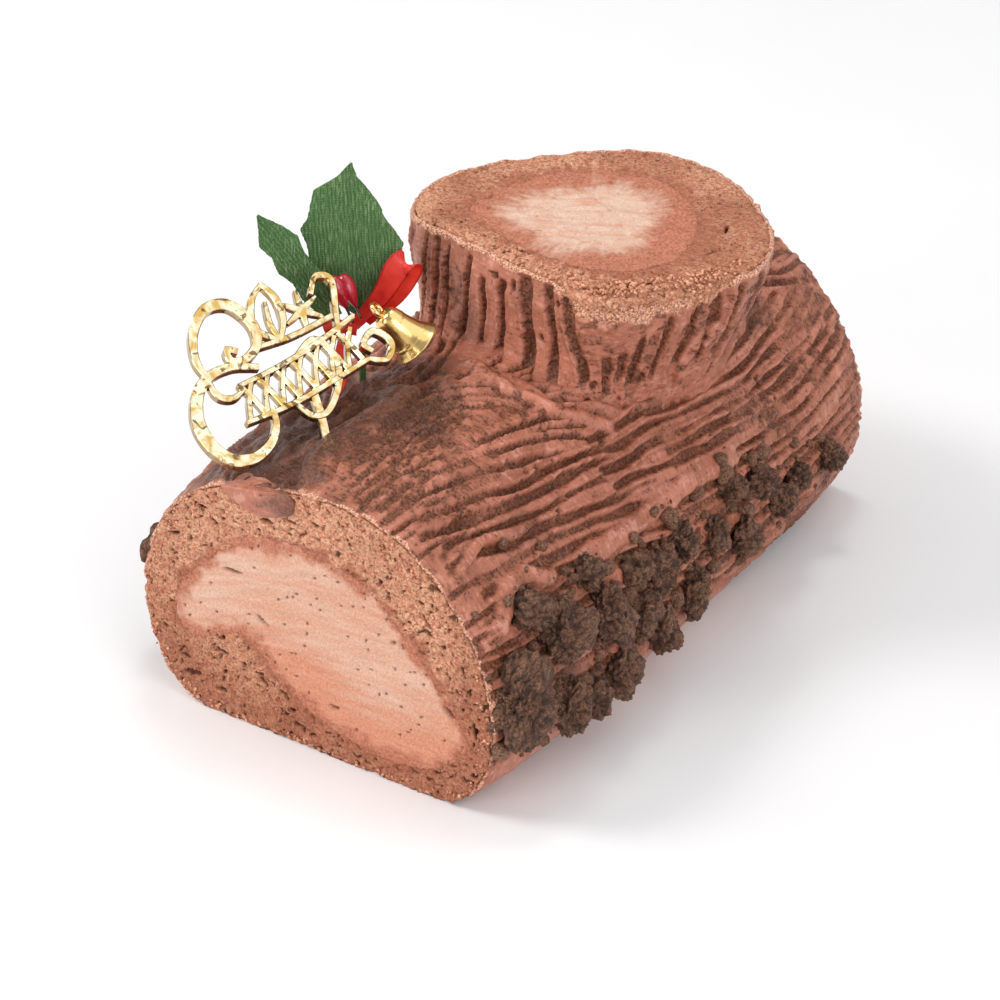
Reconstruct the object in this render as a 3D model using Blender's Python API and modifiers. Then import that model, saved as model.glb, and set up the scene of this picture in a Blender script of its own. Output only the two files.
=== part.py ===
"""Yule log cake: a rolled sponge log with a short branch, chocolate icing, cookie chunks and two picks.

The log lies along Y and rests on Z = 0. Its cut faces are at Y = -75 mm and Y = +75 mm, and the origin is
the middle of its underside. Sizes below are in millimetres, and MM turns them into Blender's metres.
"""

import math

import bmesh
import bpy
from mathutils import Matrix, Vector, noise

MM = 0.001
GAP = 0.3  # clearance that touching pieces keep

# Driving sizes of the log and the branch
LOG_LENGTH = 150.0
BRANCH_TOP = 85.0
BRANCH_FOOT = 45.0  # the branch's blank reaches down to here before the log is cut out of it
BRANCH_AXIS = (9.5, 18.0)
BRANCH_POINTS = 54  # points around its outlines
# Share of its width that the branch loses with each millimetre down, on each side of its axis
BRANCH_TAPER_RIGHT = 0.0120
BRANCH_TAPER_LEFT = 0.0060
BRANCH_TAPER_DEEP = 0.0015

# Icing
COAT_EDGE = 0.9  # thickness at a cut face
COAT_FULL = 3.6
COAT_EASE = 13.0  # distance from the cut face over which the coat grows
COAT_POINTS = 90  # points around the log's section
COAT_SHOULDER = 34.0  # the coat counts as the log's top above this height
COAT_SETBACK = 0.6  # the coat ends this far behind each cut face
RIDGE_DEPTH = 0.75
RIDGE_PITCH = 7.6
RIDGE_LOW, RIDGE_HIGH = 33.0, 46.0  # ridges fade out between these heights, above the cookie chunks
BRANCH_COAT = 1.2  # thickness at the branch's top edge
BRANCH_COAT_FULL = 2.6
FLARE = 4.0
FLARE_HEIGHT = 4.5

# Cross-sections as the corners of smooth closed curves, anticlockwise
LOG_SECTION = [
    (30.5, 0.2), (37.8, 5.2), (42.1, 15.5), (41.4, 30.0), (34.8, 44.3), (22.6, 56.4), (7.0, 60.5),
    (-9.5, 58.5), (-24.0, 54.5), (-35.2, 45.2), (-41.6, 31.0), (-41.9, 16.5), (-37.0, 5.6), (-28.5, 0.2),
    (-14.0, -0.5), (0.0, -0.5), (14.0, -0.5),
]
LOG_FILLING = [
    (37.0, 18.0), (34.0, 22.4), (26.0, 32.7), (16.0, 42.7), (1.0, 47.3), (-10.8, 46.6), (-22.6, 41.3),
    (-31.5, 30.0), (-34.0, 23.5), (-31.5, 17.6), (-23.5, 20.8), (-16.2, 22.1), (-7.4, 14.1), (2.2, 8.7),
    (16.5, 5.5), (28.6, 7.9), (35.0, 13.0),
]
BRANCH_SECTION = [
    (46.0, 16.0), (42.6, 29.0), (33.0, 40.0), (19.0, 48.6), (3.6, 50.4), (-7.7, 44.0), (-18.5, 33.4),
    (-26.4, 22.0), (-29.0, 9.5), (-24.5, -2.0), (-11.0, -4.9), (3.2, -8.2), (20.0, -11.0), (28.3, -9.0),
    (38.4, 2.4),
]
BRANCH_FILLING = [
    (30.5, 13.5), (26.5, 25.5), (17.5, 34.8), (6.0, 38.0), (-4.5, 34.0), (-12.5, 24.8), (-16.6, 14.0),
    (-14.0, 4.2), (-3.0, 0.0), (12.0, -2.8), (23.2, -0.4), (29.0, 6.0),
]

# Cookie chunks pressed into the icing: (place along Y, height of the middle, length, height, depth)
RIGHT_CHUNKS = [
    (-66.5, 25.5, 15.0, 19.0, 7.0), (-59.5, 41.0, 8.0, 8.0, 5.5), (-50.5, 32.5, 13.0, 13.5, 7.0),
    (-53.5, 17.0, 8.5, 13.0, 6.5), (-39.8, 39.8, 7.5, 6.6, 5.0), (-37.0, 29.0, 10.5, 12.0, 7.0),
    (-44.0, 13.5, 8.0, 9.0, 6.0), (-33.2, 14.3, 11.0, 10.0, 6.5), (-25.0, 33.5, 8.0, 7.0, 5.0),
    (-25.2, 23.2, 8.0, 9.0, 6.0), (-16.5, 29.0, 7.5, 11.0, 6.0), (-15.5, 15.0, 9.0, 12.0, 6.0),
    (-7.5, 30.0, 6.5, 9.0, 5.0), (-4.5, 17.5, 8.0, 11.0, 5.5), (4.5, 26.5, 7.0, 8.5, 5.0),
    (12.5, 33.0, 7.0, 7.5, 5.5), (15.5, 21.0, 8.0, 9.0, 5.5), (23.5, 30.0, 8.0, 8.5, 6.0),
    (31.5, 21.5, 7.0, 8.0, 5.5), (39.5, 24.0, 6.5, 6.5, 5.0), (53.5, 21.5, 6.0, 7.5, 5.0),
]
LEFT_CHUNKS = [
    (-61.0, 24.0, 13.0, 15.0, 7.0), (-47.5, 31.5, 9.0, 10.0, 6.0), (-46.0, 17.0, 10.0, 11.0, 6.5),
    (-32.5, 24.5, 12.0, 14.0, 6.5), (-20.5, 32.0, 8.0, 8.5, 5.5), (-18.5, 18.0, 9.5, 11.0, 6.0),
    (-5.5, 25.5, 10.0, 12.0, 6.5), (7.0, 19.5, 8.5, 10.0, 6.0), (17.5, 28.5, 8.0, 9.5, 5.5),
    (28.5, 20.5, 9.0, 9.0, 6.0), (41.0, 26.0, 7.5, 8.5, 5.5), (54.0, 20.5, 7.0, 8.5, 5.0),
]
CHUNK_FULLNESS = 1.2
LARGE_CHUNK = 13.0  # chunks at least this long get a finer mesh

# Gold pick: the sign's own frame, with U along the band and V up the sign
SIGN_ORIGIN = Vector((-9.9, -56.8, 61.8))
SIGN_NORMAL = Vector((0.544, -0.351, 0.762)).normalized()
SIGN_U = Vector((0.402, 0.906, 0.131)).normalized()
SIGN_DEPTH = 2.4
# Its strokes in that frame: (name, knots, width at the middle, width at the ends, points along it)
SIGN_STROKES = [
    ("upper_scroll", [(-7.0, 23.3), (-8.9, 24.6), (-9.1, 22.0), (-6.2, 21.2), (-2.6, 23.2), (-1.5, 27.6),
                      (-4.0, 33.0), (-8.8, 34.0), (-13.4, 30.4), (-15.7, 25.0), (-15.2, 20.4)], 2.4, 1.2, 20),
    ("lower_scroll", [(-4.6, 18.6), (-9.5, 20.8), (-14.5, 20.9), (-18.6, 18.6), (-21.4, 13.6), (-21.5, 8.0),
                      (-19.2, 3.5), (-14.8, 1.8), (-10.2, 3.2), (-7.2, 6.4), (-6.3, 10.0)], 2.8, 1.2, 20),
    ("small_curl", [(-15.6, 20.4), (-15.2, 16.6), (-12.6, 14.8), (-9.6, 15.6)], 1.4, 1.0, 8),
    ("low_rail", [(-12.6, 9.0), (-2.0, 8.8), (8.0, 9.8), (17.0, 11.0)], 1.3, 1.1, 8),
    ("high_rail", [(-10.4, 16.6), (-1.0, 17.0), (8.0, 18.2), (18.6, 20.6)], 1.3, 1.1, 8),
    ("end_curl", [(17.0, 11.0), (20.6, 9.4), (23.0, 12.4), (20.8, 16.0), (17.6, 14.4), (18.6, 12.2)],
     1.5, 1.1, 13),
    ("leaf_left", [(2.0, 22.0), (-1.4, 26.4), (0.6, 31.6), (4.4, 34.4)], 1.6, 1.0, 9),
    ("leaf_right", [(2.4, 22.0), (5.0, 26.0), (5.6, 30.6), (4.2, 34.6)], 1.6, 1.0, 9),
    ("leaf_rib", [(2.2, 22.0), (2.0, 26.0), (3.2, 30.6)], 1.2, 0.8, 5),
    ("upper_rail", [(-2.4, 22.4), (5.0, 21.8), (14.6, 22.4)], 1.2, 1.2, 6),
    ("top_hook", [(12.8, 28.2), (15.6, 31.4), (18.2, 29.4), (15.8, 23.0), (14.0, 18.6)], 1.5, 1.1, 10),
    ("drop", [(3.0, 17.4), (8.6, 19.4), (10.8, 14.4), (8.8, 9.0), (4.0, 4.6), (0.6, 4.9), (-1.6, 9.0)],
     1.6, 1.1, 13),
]
STAR = Vector((9.4, 26.0))
STAR_ARM = 4.4
STAR_TURN = 0.35
STAKE_RADIUS = 0.9
STAKE_DEPTH = 11.0

# Holly ornament, tied at one knot on a wire
KNOT = Vector((-18.3, -29.6, 69.6))
WIRE_FOOT = Vector((-18.6, -30.6, 50.5))
WIRE_RADIUS = 0.7
LEAF_THICKNESS = 0.5
LEAF_FOLD = 0.18  # rise of a leaf's edge for each millimetre from its midrib
BROAD_LEAF = [
    (0.0, 1.0, 1.0), (0.10, 5.0, 4.5), (0.20, 8.0, 7.5), (0.30, 11.0, 9.8), (0.41, 9.8, 8.4), (0.52, 10.2, 9.8),
    (0.62, 11.3, 7.8), (0.69, 9.5, 6.2), (0.76, 8.9, 5.4), (0.85, 8.0, 3.0), (0.92, 3.2, 1.0), (1.0, 0.3, 0.3),
]
NARROW_LEAF = [
    (0.0, 1.2, 1.0), (0.14, 3.0, 2.4), (0.30, 3.5, 3.8), (0.44, 3.0, 2.9), (0.58, 4.0, 3.0), (0.70, 3.1, 4.0),
    (0.82, 3.8, 2.7), (0.92, 1.8, 1.4), (1.0, 0.3, 0.3),
]
BELL_CROWN = Vector((-15.6, -27.7, 75.4))
BELL_AXIS = Vector((6.2, 4.1, -7.4)).normalized()
BELL_HEIGHT = 10.0
BELL_RADIUS = 5.5
BELL_WALL = 0.7
RIBBON_THICKNESS = 0.4

MATERIALS = {
    "sponge": ((0.340, 0.150, 0.100), 0.9, 0.0),
    "cream": ((0.560, 0.330, 0.235), 0.75, 0.0),
    "icing": ((0.165, 0.066, 0.045), 0.6, 0.0),
    "cookie": ((0.035, 0.020, 0.015), 0.95, 0.0),
    "gold": ((0.900, 0.740, 0.380), 0.12, 1.0),
    "bell": ((0.850, 0.560, 0.110), 0.3, 1.0),
    "leaf": ((0.035, 0.160, 0.050), 0.85, 0.0),
    "wire": ((0.020, 0.080, 0.020), 0.6, 0.0),
    "berry": ((0.500, 0.010, 0.050), 0.25, 0.0),
    "ribbon": ((0.700, 0.015, 0.015), 0.5, 0.0),
}


def clear_scene():
    for thing in list(bpy.data.objects):
        bpy.data.objects.remove(thing, do_unlink=True)


def make_collection(name):
    collection = bpy.data.collections.new(name)
    bpy.context.scene.collection.children.link(collection)
    return collection


def make_material(name):
    colour, roughness, metallic = MATERIALS[name]
    material = bpy.data.materials.new(name)
    material.use_nodes = True
    shader = material.node_tree.nodes["Principled BSDF"]
    shader.inputs["Base Color"].default_value = (*colour, 1.0)
    shader.inputs["Roughness"].default_value = roughness
    shader.inputs["Metallic"].default_value = metallic
    return material


def add_object(name, mesh, material=None, collection=None):
    piece = bpy.data.objects.new(name, mesh)
    if material:
        mesh.materials.append(make_material(material) if material not in bpy.data.materials
                              else bpy.data.materials[material])
    (collection or cake).objects.link(piece)
    return piece


def add_mesh(name, points, faces, material=None, collection=None, smooth=False):
    """An object from points in millimetres, with its normals made to face out."""
    mesh = bpy.data.meshes.new(name)
    mesh.from_pydata([[c * MM for c in p] for p in points], [], faces)
    shape = bmesh.new()
    shape.from_mesh(mesh)
    bmesh.ops.remove_doubles(shape, verts=shape.verts, dist=1e-6)
    bmesh.ops.recalc_face_normals(shape, faces=shape.faces)
    shape.to_mesh(mesh)
    shape.free()
    if smooth:
        mesh.shade_smooth()
        mesh.set_sharp_from_angle(angle=math.radians(40))
    return add_object(name, mesh, material, collection)


def make_cutter(piece):
    piece.hide_render = True
    piece.display_type = "WIRE"
    return piece


def boolean(piece, other, operation):
    modifier = piece.modifiers.new(operation.lower(), "BOOLEAN")
    modifier.operation = operation
    modifier.object = other
    modifier.solver = "EXACT"


def bake(piece):
    """Turns the object's modifiers into its mesh."""
    graph = bpy.context.evaluated_depsgraph_get()
    mesh = bpy.data.meshes.new_from_object(piece.evaluated_get(graph))
    piece.modifiers.clear()
    piece.data = mesh


def spline(points, count, closed):
    """Points at equal steps along the Catmull-Rom curve through the given 2D or 3D points."""
    knots = [Vector(p) for p in points]
    if closed:
        knots = [knots[-1], *knots, knots[0], knots[1]]
    else:
        knots = [2 * knots[0] - knots[1], *knots, 2 * knots[-1] - knots[-2]]
    fine = []
    for a, b, c, d in zip(knots, knots[1:], knots[2:], knots[3:]):
        for step in range(24):
            t = step / 24
            fine.append(0.5 * (2 * b + (c - a) * t + (2 * a - 5 * b + 4 * c - d) * t**2
                               + (3 * b - a - 3 * c + d) * t**3))
    fine.append(knots[-2].copy())
    lengths = [0.0]
    for a, b in zip(fine, fine[1:]):
        lengths.append(lengths[-1] + (b - a).length)
    steps = count if closed else count - 1
    evenly, place = [], 0
    for index in range(count):
        target = lengths[-1] * index / steps
        while place < len(fine) - 2 and lengths[place + 1] < target:
            place += 1
        share = (target - lengths[place]) / (lengths[place + 1] - lengths[place])
        evenly.append(fine[place].lerp(fine[place + 1], share))
    return evenly


def loop_normals(loop):
    """Outward normals of a closed anticlockwise 2D loop."""
    count = len(loop)
    along = [loop[(i + 1) % count] - loop[i - 1] for i in range(count)]
    return [Vector((a.y, -a.x)).normalized() for a in along]


def offset_loop(loop, distance):
    return [p + n * distance for p, n in zip(loop, loop_normals(loop))]


def log_loop(offset=0.0, count=64):
    """The log's cross-section, flat along the bottom."""
    loop = offset_loop(spline(LOG_SECTION, count, closed=True), offset)
    return [Vector((p.x, max(p.y, 0.0))) for p in loop]


def narrowed(point, height):
    """Where a point of the branch's top outline lies at a height: the branch narrows towards its foot."""
    down = BRANCH_TOP - height
    across, deep = point[0] - BRANCH_AXIS[0], point[1] - BRANCH_AXIS[1]
    across *= 1 - (BRANCH_TAPER_RIGHT if across > 0 else BRANCH_TAPER_LEFT) * down
    deep *= 1 - BRANCH_TAPER_DEEP * down
    return Vector((BRANCH_AXIS[0] + across, BRANCH_AXIS[1] + deep))


def branch_loop(corners, height, offset=0.0, count=BRANCH_POINTS):
    """A branch outline at a height."""
    loop = offset_loop(spline(corners, count, closed=True), offset)
    return [narrowed(p, height) for p in loop]


def loft(rings, closed_around=True, capped=True):
    """Faces that join rings of equal point count, in order."""
    around = len(rings[0])
    points = [p for ring in rings for p in ring]
    faces = []
    last = around if closed_around else around - 1
    for level in range(len(rings) - 1):
        for i in range(last):
            j = (i + 1) % around
            low, high = level * around, (level + 1) * around
            faces.append((low + i, low + j, high + j, high + i))
    if capped:
        faces.append(tuple(range(around))[::-1])
        faces.append(tuple(range(len(points) - around, len(points))))
    return points, faces


def coat_thickness(y):
    depth = LOG_LENGTH / 2 - abs(y)
    return COAT_EDGE + (COAT_FULL - COAT_EDGE) * (1 - math.exp(-depth / COAT_EASE))


def coat_top(x):
    """Height of the log's smooth icing above a place across the log, on its upper half."""
    upper = [p for p in log_loop(COAT_FULL, count=200) if p.y > COAT_SHOULDER]
    return min(upper, key=lambda p: abs(p.x - x)).y


def log_coat():
    """The log's icing: an arch over the sponge, with ridges along it, thinner at the cut faces."""
    inner = log_loop(GAP, count=COAT_POINTS)
    start = max(i for i in range(COAT_POINTS) if inner[i].y <= 1.0) + 1 - COAT_POINTS
    arch = [i for i in range(start, start + COAT_POINTS) if inner[i].y > 1.0]
    base = log_loop(0.0, count=COAT_POINTS)
    normals = loop_normals(base)
    end = LOG_LENGTH / 2 - COAT_SETBACK
    stations = [-end, -69, -56, -36, -16, 4, 24, 44, 60, 70, end]
    rings = []
    step = sum((b - a).length for a, b in zip(base, base[1:])) / (COAT_POINTS - 1)
    for y in stations:
        ring = []
        for i in arch:
            fade = min(max((base[i].y - RIDGE_LOW) / (RIDGE_HIGH - RIDGE_LOW), 0.0), 1.0)
            turn = (i - arch[0]) * step / RIDGE_PITCH
            wander = 0.35 * math.sin(y / 23 + i / 17) + 0.2 * math.sin(y / 9 + i / 5)
            ridge = RIDGE_DEPTH * fade * math.cos(2 * math.pi * (turn + wander))
            full = coat_thickness(y)
            thick = full * min(1.0, 0.35 + base[i].y / 9) + ridge * min(1, full / 3)
            p = base[i] + normals[i] * max(thick, COAT_EDGE * 0.8)
            ring.append((p.x, y, max(p.y, 0.4)))
        rings.append(ring)
    outer, faces = loft(rings, closed_around=False, capped=False)
    around, levels = len(arch), len(stations)
    near = [(inner[i].x, -end, max(inner[i].y, 0.4)) for i in arch]
    far = [(x, end, z) for x, _, z in near]
    a, b = len(outer), len(outer) + around
    top = (levels - 1) * around
    for i in range(around - 1):
        faces.append((a + i, b + i, b + i + 1, a + i + 1))
        faces.append((i, a + i, a + i + 1, i + 1))
        faces.append((top + i, top + i + 1, b + i + 1, b + i))
    faces.append((a, *[level * around for level in range(levels)], b))
    faces.append((b + around - 1, *[level * around + around - 1 for level in reversed(range(levels))],
                  a + around - 1))
    return outer + near + far, faces


def branch_foot(point, normal, reach):
    """Height at which the wall through a point of the top outline, moved out by reach, meets the log's coat."""
    height = BRANCH_TOP - 25
    for _ in range(20):
        place = narrowed(point, height).x + normal.x * reach
        height += 0.5 * (coat_top(place) - COAT_FULL * 0.6 - height)
    return height


def branch_coat():
    """The branch's icing: a ridged ring, flared where it runs out onto the log."""
    shares = [0.0, 0.08, 0.2, 0.42, 0.75, 0.93, 1.0]
    top = BRANCH_TOP - 0.4
    outline = spline(BRANCH_SECTION, BRANCH_POINTS, closed=True)
    walls = list(zip(outline, loop_normals(outline)))
    feet = [branch_foot(p, n, BRANCH_COAT_FULL + FLARE) for p, n in walls]
    rings = []
    for share in shares:
        ring = []
        for i, (point, normal) in enumerate(walls):
            z = feet[i] + (top - feet[i]) * share
            rise, fall = z - feet[i], top - z
            facing = min(max(0.5 - normal.y + 0.2 * normal.x, 0.0), 1.0)
            ridge = RIDGE_DEPTH * facing * math.cos(2 * math.pi * i / 3.0) * min(1, rise / 6, fall / 4)
            thick = (BRANCH_COAT + (BRANCH_COAT_FULL - BRANCH_COAT) * min(1, fall / 6)
                     + FLARE * math.exp(-rise / FLARE_HEIGHT) + ridge)
            ring.append((*(narrowed(point, z) + normal * thick), z))
        rings.append(ring)
    inner_feet = [branch_foot(p, n, GAP) for p, n in walls]
    for share in (1.0, 0.5, 0.0):
        heights = [low + (top - low) * share for low in inner_feet]
        rings.append([(*(narrowed(p, z) + n * GAP), z) for (p, n), z in zip(walls, heights)])
    points, faces = loft(rings, capped=False)
    last = (len(rings) - 1) * BRANCH_POINTS
    for i in range(BRANCH_POINTS):
        j = (i + 1) % BRANCH_POINTS
        faces.append((last + i, last + j, j, i))
    return points, faces


def log_envelope(name, extra):
    """A cutter that holds the iced log with some clearance."""
    rings = []
    for y in (-LOG_LENGTH / 2, -66, -50, 50, 66, LOG_LENGTH / 2):
        loop = log_loop(min(COAT_FULL, coat_thickness(y) + GAP) + extra, count=32)
        rings.append([(p.x, y, p.y - 1.0 if p.y < 0.5 else p.y) for p in loop])
    return make_cutter(add_mesh(name, *loft(rings), collection=cutters))


def solid_layer(name, ring_at, places, material):
    """A layer of a roll through the given places along it; without a material it is a cutter."""
    home = cake if material else cutters
    return add_mesh(name, *loft([ring_at(place) for place in places]), material, home)


def bored(sponge, bore):
    """The sponge with the filling's bore cut through it."""
    boolean(sponge, make_cutter(bore), "DIFFERENCE")
    bake(sponge)
    return sponge


def build_log():
    def section(loop):
        return lambda y: [(p.x, y, p.y) for p in loop]

    def filling(offset):
        return section(offset_loop(spline(LOG_FILLING, 56, closed=True), offset))

    end = LOG_LENGTH / 2
    sponge = solid_layer("log_sponge", section(log_loop()), (-end, end), "sponge")
    bored(sponge, solid_layer("log_bore", filling(GAP / 2), (-end - 5, end + 5), None))
    solid_layer("log_filling", filling(-GAP / 2), (-end, end), "cream")
    return sponge


def build_branch():
    def section(corners, offset):
        return lambda z: [(*p, z) for p in branch_loop(corners, z, offset)]

    seat = log_envelope("branch_seat", RIDGE_DEPTH + 2 * GAP)
    levels = (BRANCH_FOOT, (BRANCH_FOOT + BRANCH_TOP) / 2, BRANCH_TOP)
    through = (BRANCH_FOOT - 5, BRANCH_TOP + 5)
    sponge = solid_layer("branch_sponge", section(BRANCH_SECTION, 0.0), levels, "sponge")
    bored(sponge, solid_layer("branch_bore", section(BRANCH_FILLING, GAP), through, None))
    filling = solid_layer("branch_filling", section(BRANCH_FILLING, 0.0), (BRANCH_FOOT, BRANCH_TOP), "cream")
    for layer in (sponge, filling):
        boolean(layer, seat, "DIFFERENCE")
        bake(layer)


def build_icing():
    icing = add_mesh("icing", *log_coat(), "icing", smooth=True)
    ring = make_cutter(add_mesh("branch_ring", *branch_coat(), collection=cutters))
    boolean(icing, ring, "UNION")
    bake(icing)
    return icing


def build_chunks():
    """Cookie chunks: lumpy balls, cut off where they meet the icing."""
    seat = log_envelope("chunk_seat", 2 * GAP)
    loop = log_loop(COAT_FULL, count=200)
    serial = 0
    for side, chunks in ((1, RIGHT_CHUNKS), (-1, LEFT_CHUNKS)):
        for y, z, length, height, depth in chunks:
            serial += 1
            surface = min((p for p in loop if p.x * side > 0), key=lambda p: abs(p.y - z))
            shape = bmesh.new()
            bmesh.ops.create_icosphere(shape, subdivisions=3 if length >= LARGE_CHUNK else 2, radius=1.0)
            for vert in shape.verts:
                bump = noise.noise(vert.co * 1.6 + Vector((serial * 3.7, 0, 0)))
                vert.co *= CHUNK_FULLNESS + 0.22 * bump
                vert.co.x *= depth
                vert.co.y *= length / 2
                vert.co.z *= height / 2
                vert.co += Vector((surface.x - side * depth * 0.25, y, z))
                vert.co.z = max(vert.co.z, 0.6)
            mesh = bpy.data.meshes.new("chunk")
            bmesh.ops.scale(shape, vec=(MM, MM, MM), verts=shape.verts)
            shape.to_mesh(mesh)
            shape.free()
            chunk = add_object(f"cookie_chunk_{serial:02d}", mesh, "cookie")
            boolean(chunk, seat, "DIFFERENCE")
            bake(chunk)


def sign_matrix():
    side = SIGN_U
    up = SIGN_NORMAL.cross(side).normalized()
    turn = Matrix((side, up, SIGN_NORMAL)).transposed().to_4x4()
    return Matrix.Translation(SIGN_ORIGIN * MM) @ turn


def stroke(name, knots, wide, narrow, steps, deep=SIGN_DEPTH):
    """A flat gold band along a curve: widest at its middle, with square edges."""
    line = spline(knots, steps, closed=False)
    rings = []
    for i, p in enumerate(line):
        along = (line[min(i + 1, steps - 1)] - line[max(i - 1, 0)]).normalized()
        across = Vector((-along.y, along.x))
        half = (narrow + (wide - narrow) * math.sin(math.pi * i / (steps - 1))) / 2
        left, right = p + across * half, p - across * half
        rings.append([(*left, -deep / 2), (*right, -deep / 2), (*right, deep / 2), (*left, deep / 2)])
    return add_mesh(name, *loft(rings), collection=cutters)


def sign_strokes():
    """The scrollwork's strokes: the fixed ones, a band of lozenges between the rails, and a star."""
    yield from SIGN_STROKES
    lean, rise = 1.6, 8.0
    for i in range(7):
        u, v = -10.4 + 4.0 * i, 9.0 + 0.28 * i
        middle = v + rise / 2
        yield f"bar_{i}", [(u - 1.2, v), (u + 0.5, middle), (u + lean + 1.6, v + rise)], 1.1, 1.1, 3
        yield f"tie_{i}", [(u + 2.6, v), (u + lean, middle), (u + lean - 1.4, v + rise)], 1.1, 1.1, 3
    for i in range(3):
        turn = math.pi * i / 3 + STAR_TURN
        arm = Vector((math.cos(turn), math.sin(turn))) * STAR_ARM
        yield f"star_{i}", [STAR - arm, STAR, STAR + arm], 1.5, 0.7, 5


def build_gold_pick():
    """One moulded piece: the strokes and the stake, joined."""
    stake = [(3.2, 9.6), (1.9, 3.4), (0.0, -3.0), (-1.6, -STAKE_DEPTH)]
    pick = stroke("stake", stake, 2 * STAKE_RADIUS, 2 * STAKE_RADIUS, 5, deep=2 * STAKE_RADIUS)
    for name, *shape in sign_strokes():
        other = stroke(name, *shape)
        boolean(pick, make_cutter(other), "UNION")
    bake(pick)
    cutters.objects.unlink(pick)
    cake.objects.link(pick)
    pick.name = "gold_pick"
    pick.data.materials.append(make_material("gold"))
    pick.matrix_world = sign_matrix()
    wide = 2 * STAKE_RADIUS + 2 * GAP
    hole = stroke("stake_hole", [(1.9, 3.4), (0.0, -3.0), (-1.9, -STAKE_DEPTH - 1)], wide, wide, 4, deep=wide)
    hole.matrix_world = sign_matrix()
    return make_cutter(hole)


def turned(name, profile, place, axis, material, steps):
    """A turned solid: its profile is (radius, height along the axis), down its outer side."""
    points = [(r, 0.0, h) for r, h in profile]
    mesh = bpy.data.meshes.new(name)
    edges = [(i, i + 1) for i in range(len(points) - 1)]
    mesh.from_pydata([[c * MM for c in p] for p in points], edges, [])
    piece = add_object(name, mesh, material)
    screw = piece.modifiers.new("turn", "SCREW")
    screw.steps = screw.render_steps = steps
    screw.use_merge_vertices = True
    screw.merge_threshold = 1e-6
    screw.use_smooth_shade = True
    piece.location = place * MM
    piece.rotation_mode = "QUATERNION"
    piece.rotation_quaternion = Vector(axis).to_track_quat("Z", "Y")
    return piece


def build_leaf(name, foot, tip, across, edges, cup):
    """A holly leaf of stiff cloth, folded a little along its midrib.

    Its edges are (share of the length, half width to the left, half width to the right).
    """
    foot, tip, across = Vector(foot), Vector(tip), Vector(across).normalized()
    along = tip - foot
    out = across.cross(along).normalized()
    rings = []
    for share, left, right in edges:
        middle = foot + along * share + out * cup * math.sin(math.pi * share)
        top = []
        for side in (-left, -left / 2, 0.0, right / 2, right):
            top.append(middle + across * side + out * abs(side) * LEAF_FOLD)
        low = [p - out * LEAF_THICKNESS for p in top]
        rings.append([tuple(p) for p in (*top, *reversed(low))])
    return add_mesh(name, *loft(rings), "leaf")


def build_ribbon(name, route, across, widths, steps):
    """A flat strip along a route, as wide as given at its start, middle and end."""
    line = spline(route, steps, closed=False)
    across = Vector(across).normalized()
    rings = []
    for i, p in enumerate(line):
        place = 2 * i / (steps - 1)
        half = min(int(place), 1)
        width = widths[half] + (widths[half + 1] - widths[half]) * (place - half)
        along = (line[min(i + 1, steps - 1)] - line[max(i - 1, 0)]).normalized()
        side = (across - along * across.dot(along)).normalized()
        out = side.cross(along)
        edge, face = side * width / 2, out * RIBBON_THICKNESS / 2
        corners = (p - edge - face, p + edge - face, p + edge + face, p - edge + face)
        rings.append([tuple(corner) for corner in corners])
    return add_mesh(name, *loft(rings), "ribbon")


def build_bell():
    r, h = BELL_RADIUS, BELL_HEIGHT
    outside = [(0.0, 0.0), (0.25 * r, -0.01 * h), (0.42 * r, -0.06 * h), (0.52 * r, -0.17 * h),
               (0.60 * r, -0.45 * h), (0.72 * r, -0.72 * h), (0.88 * r, -0.90 * h), (r, -h)]
    inside = [(x - BELL_WALL, y - 0.05) for x, y in reversed(outside[3:-1])] + [(0.0, -0.17 * h)]
    bell = turned("bell", outside + [(r - 0.4, -h - 0.25)] + inside, BELL_CROWN, -BELL_AXIS, "bell", 16)
    bake(bell)
    bpy.ops.mesh.primitive_torus_add(major_segments=12, minor_segments=6, major_radius=1.5 * MM,
                                     minor_radius=0.55 * MM)
    eye = bpy.context.object
    eye.name = "bell_eye"
    turn = Vector(-BELL_AXIS).to_track_quat("Z", "Y")
    eye.rotation_mode = "QUATERNION"
    eye.rotation_quaternion = turn @ Vector((0, 1, 0)).to_track_quat("Z", "Y")
    eye.location = (BELL_CROWN - BELL_AXIS * 1.2) * MM
    for home in list(eye.users_collection):
        home.objects.unlink(eye)
    cutters.objects.link(eye)
    make_cutter(eye)
    boolean(bell, eye, "UNION")
    bake(bell)
    clapper = [(0.0, -0.17 * h - 1.0), (0.45, -0.17 * h - 1.05), (0.45, -0.62 * h), (1.35, -0.72 * h),
               (1.7, -0.84 * h), (1.35, -0.96 * h), (0.6, -1.02 * h), (0.0, -1.04 * h)]
    turned("bell_clapper", clapper, BELL_CROWN, -BELL_AXIS, "bell", 10)


def build_berry(name, tip, foot):
    """A glossy pip on a thin stem, drawn out into it."""
    tip, foot = Vector(tip), Vector(foot)
    length = (tip - foot).length
    shape = [(0.0, 0.0), (0.8, -0.25), (1.45, -1.1), (1.75, -2.4), (1.65, -3.8), (1.25, -5.2), (0.75, -6.5),
             (0.35, -7.6), (0.3, -length), (0.0, -length)]
    turned(name, shape, tip, tip - foot, "berry", 10)


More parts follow.
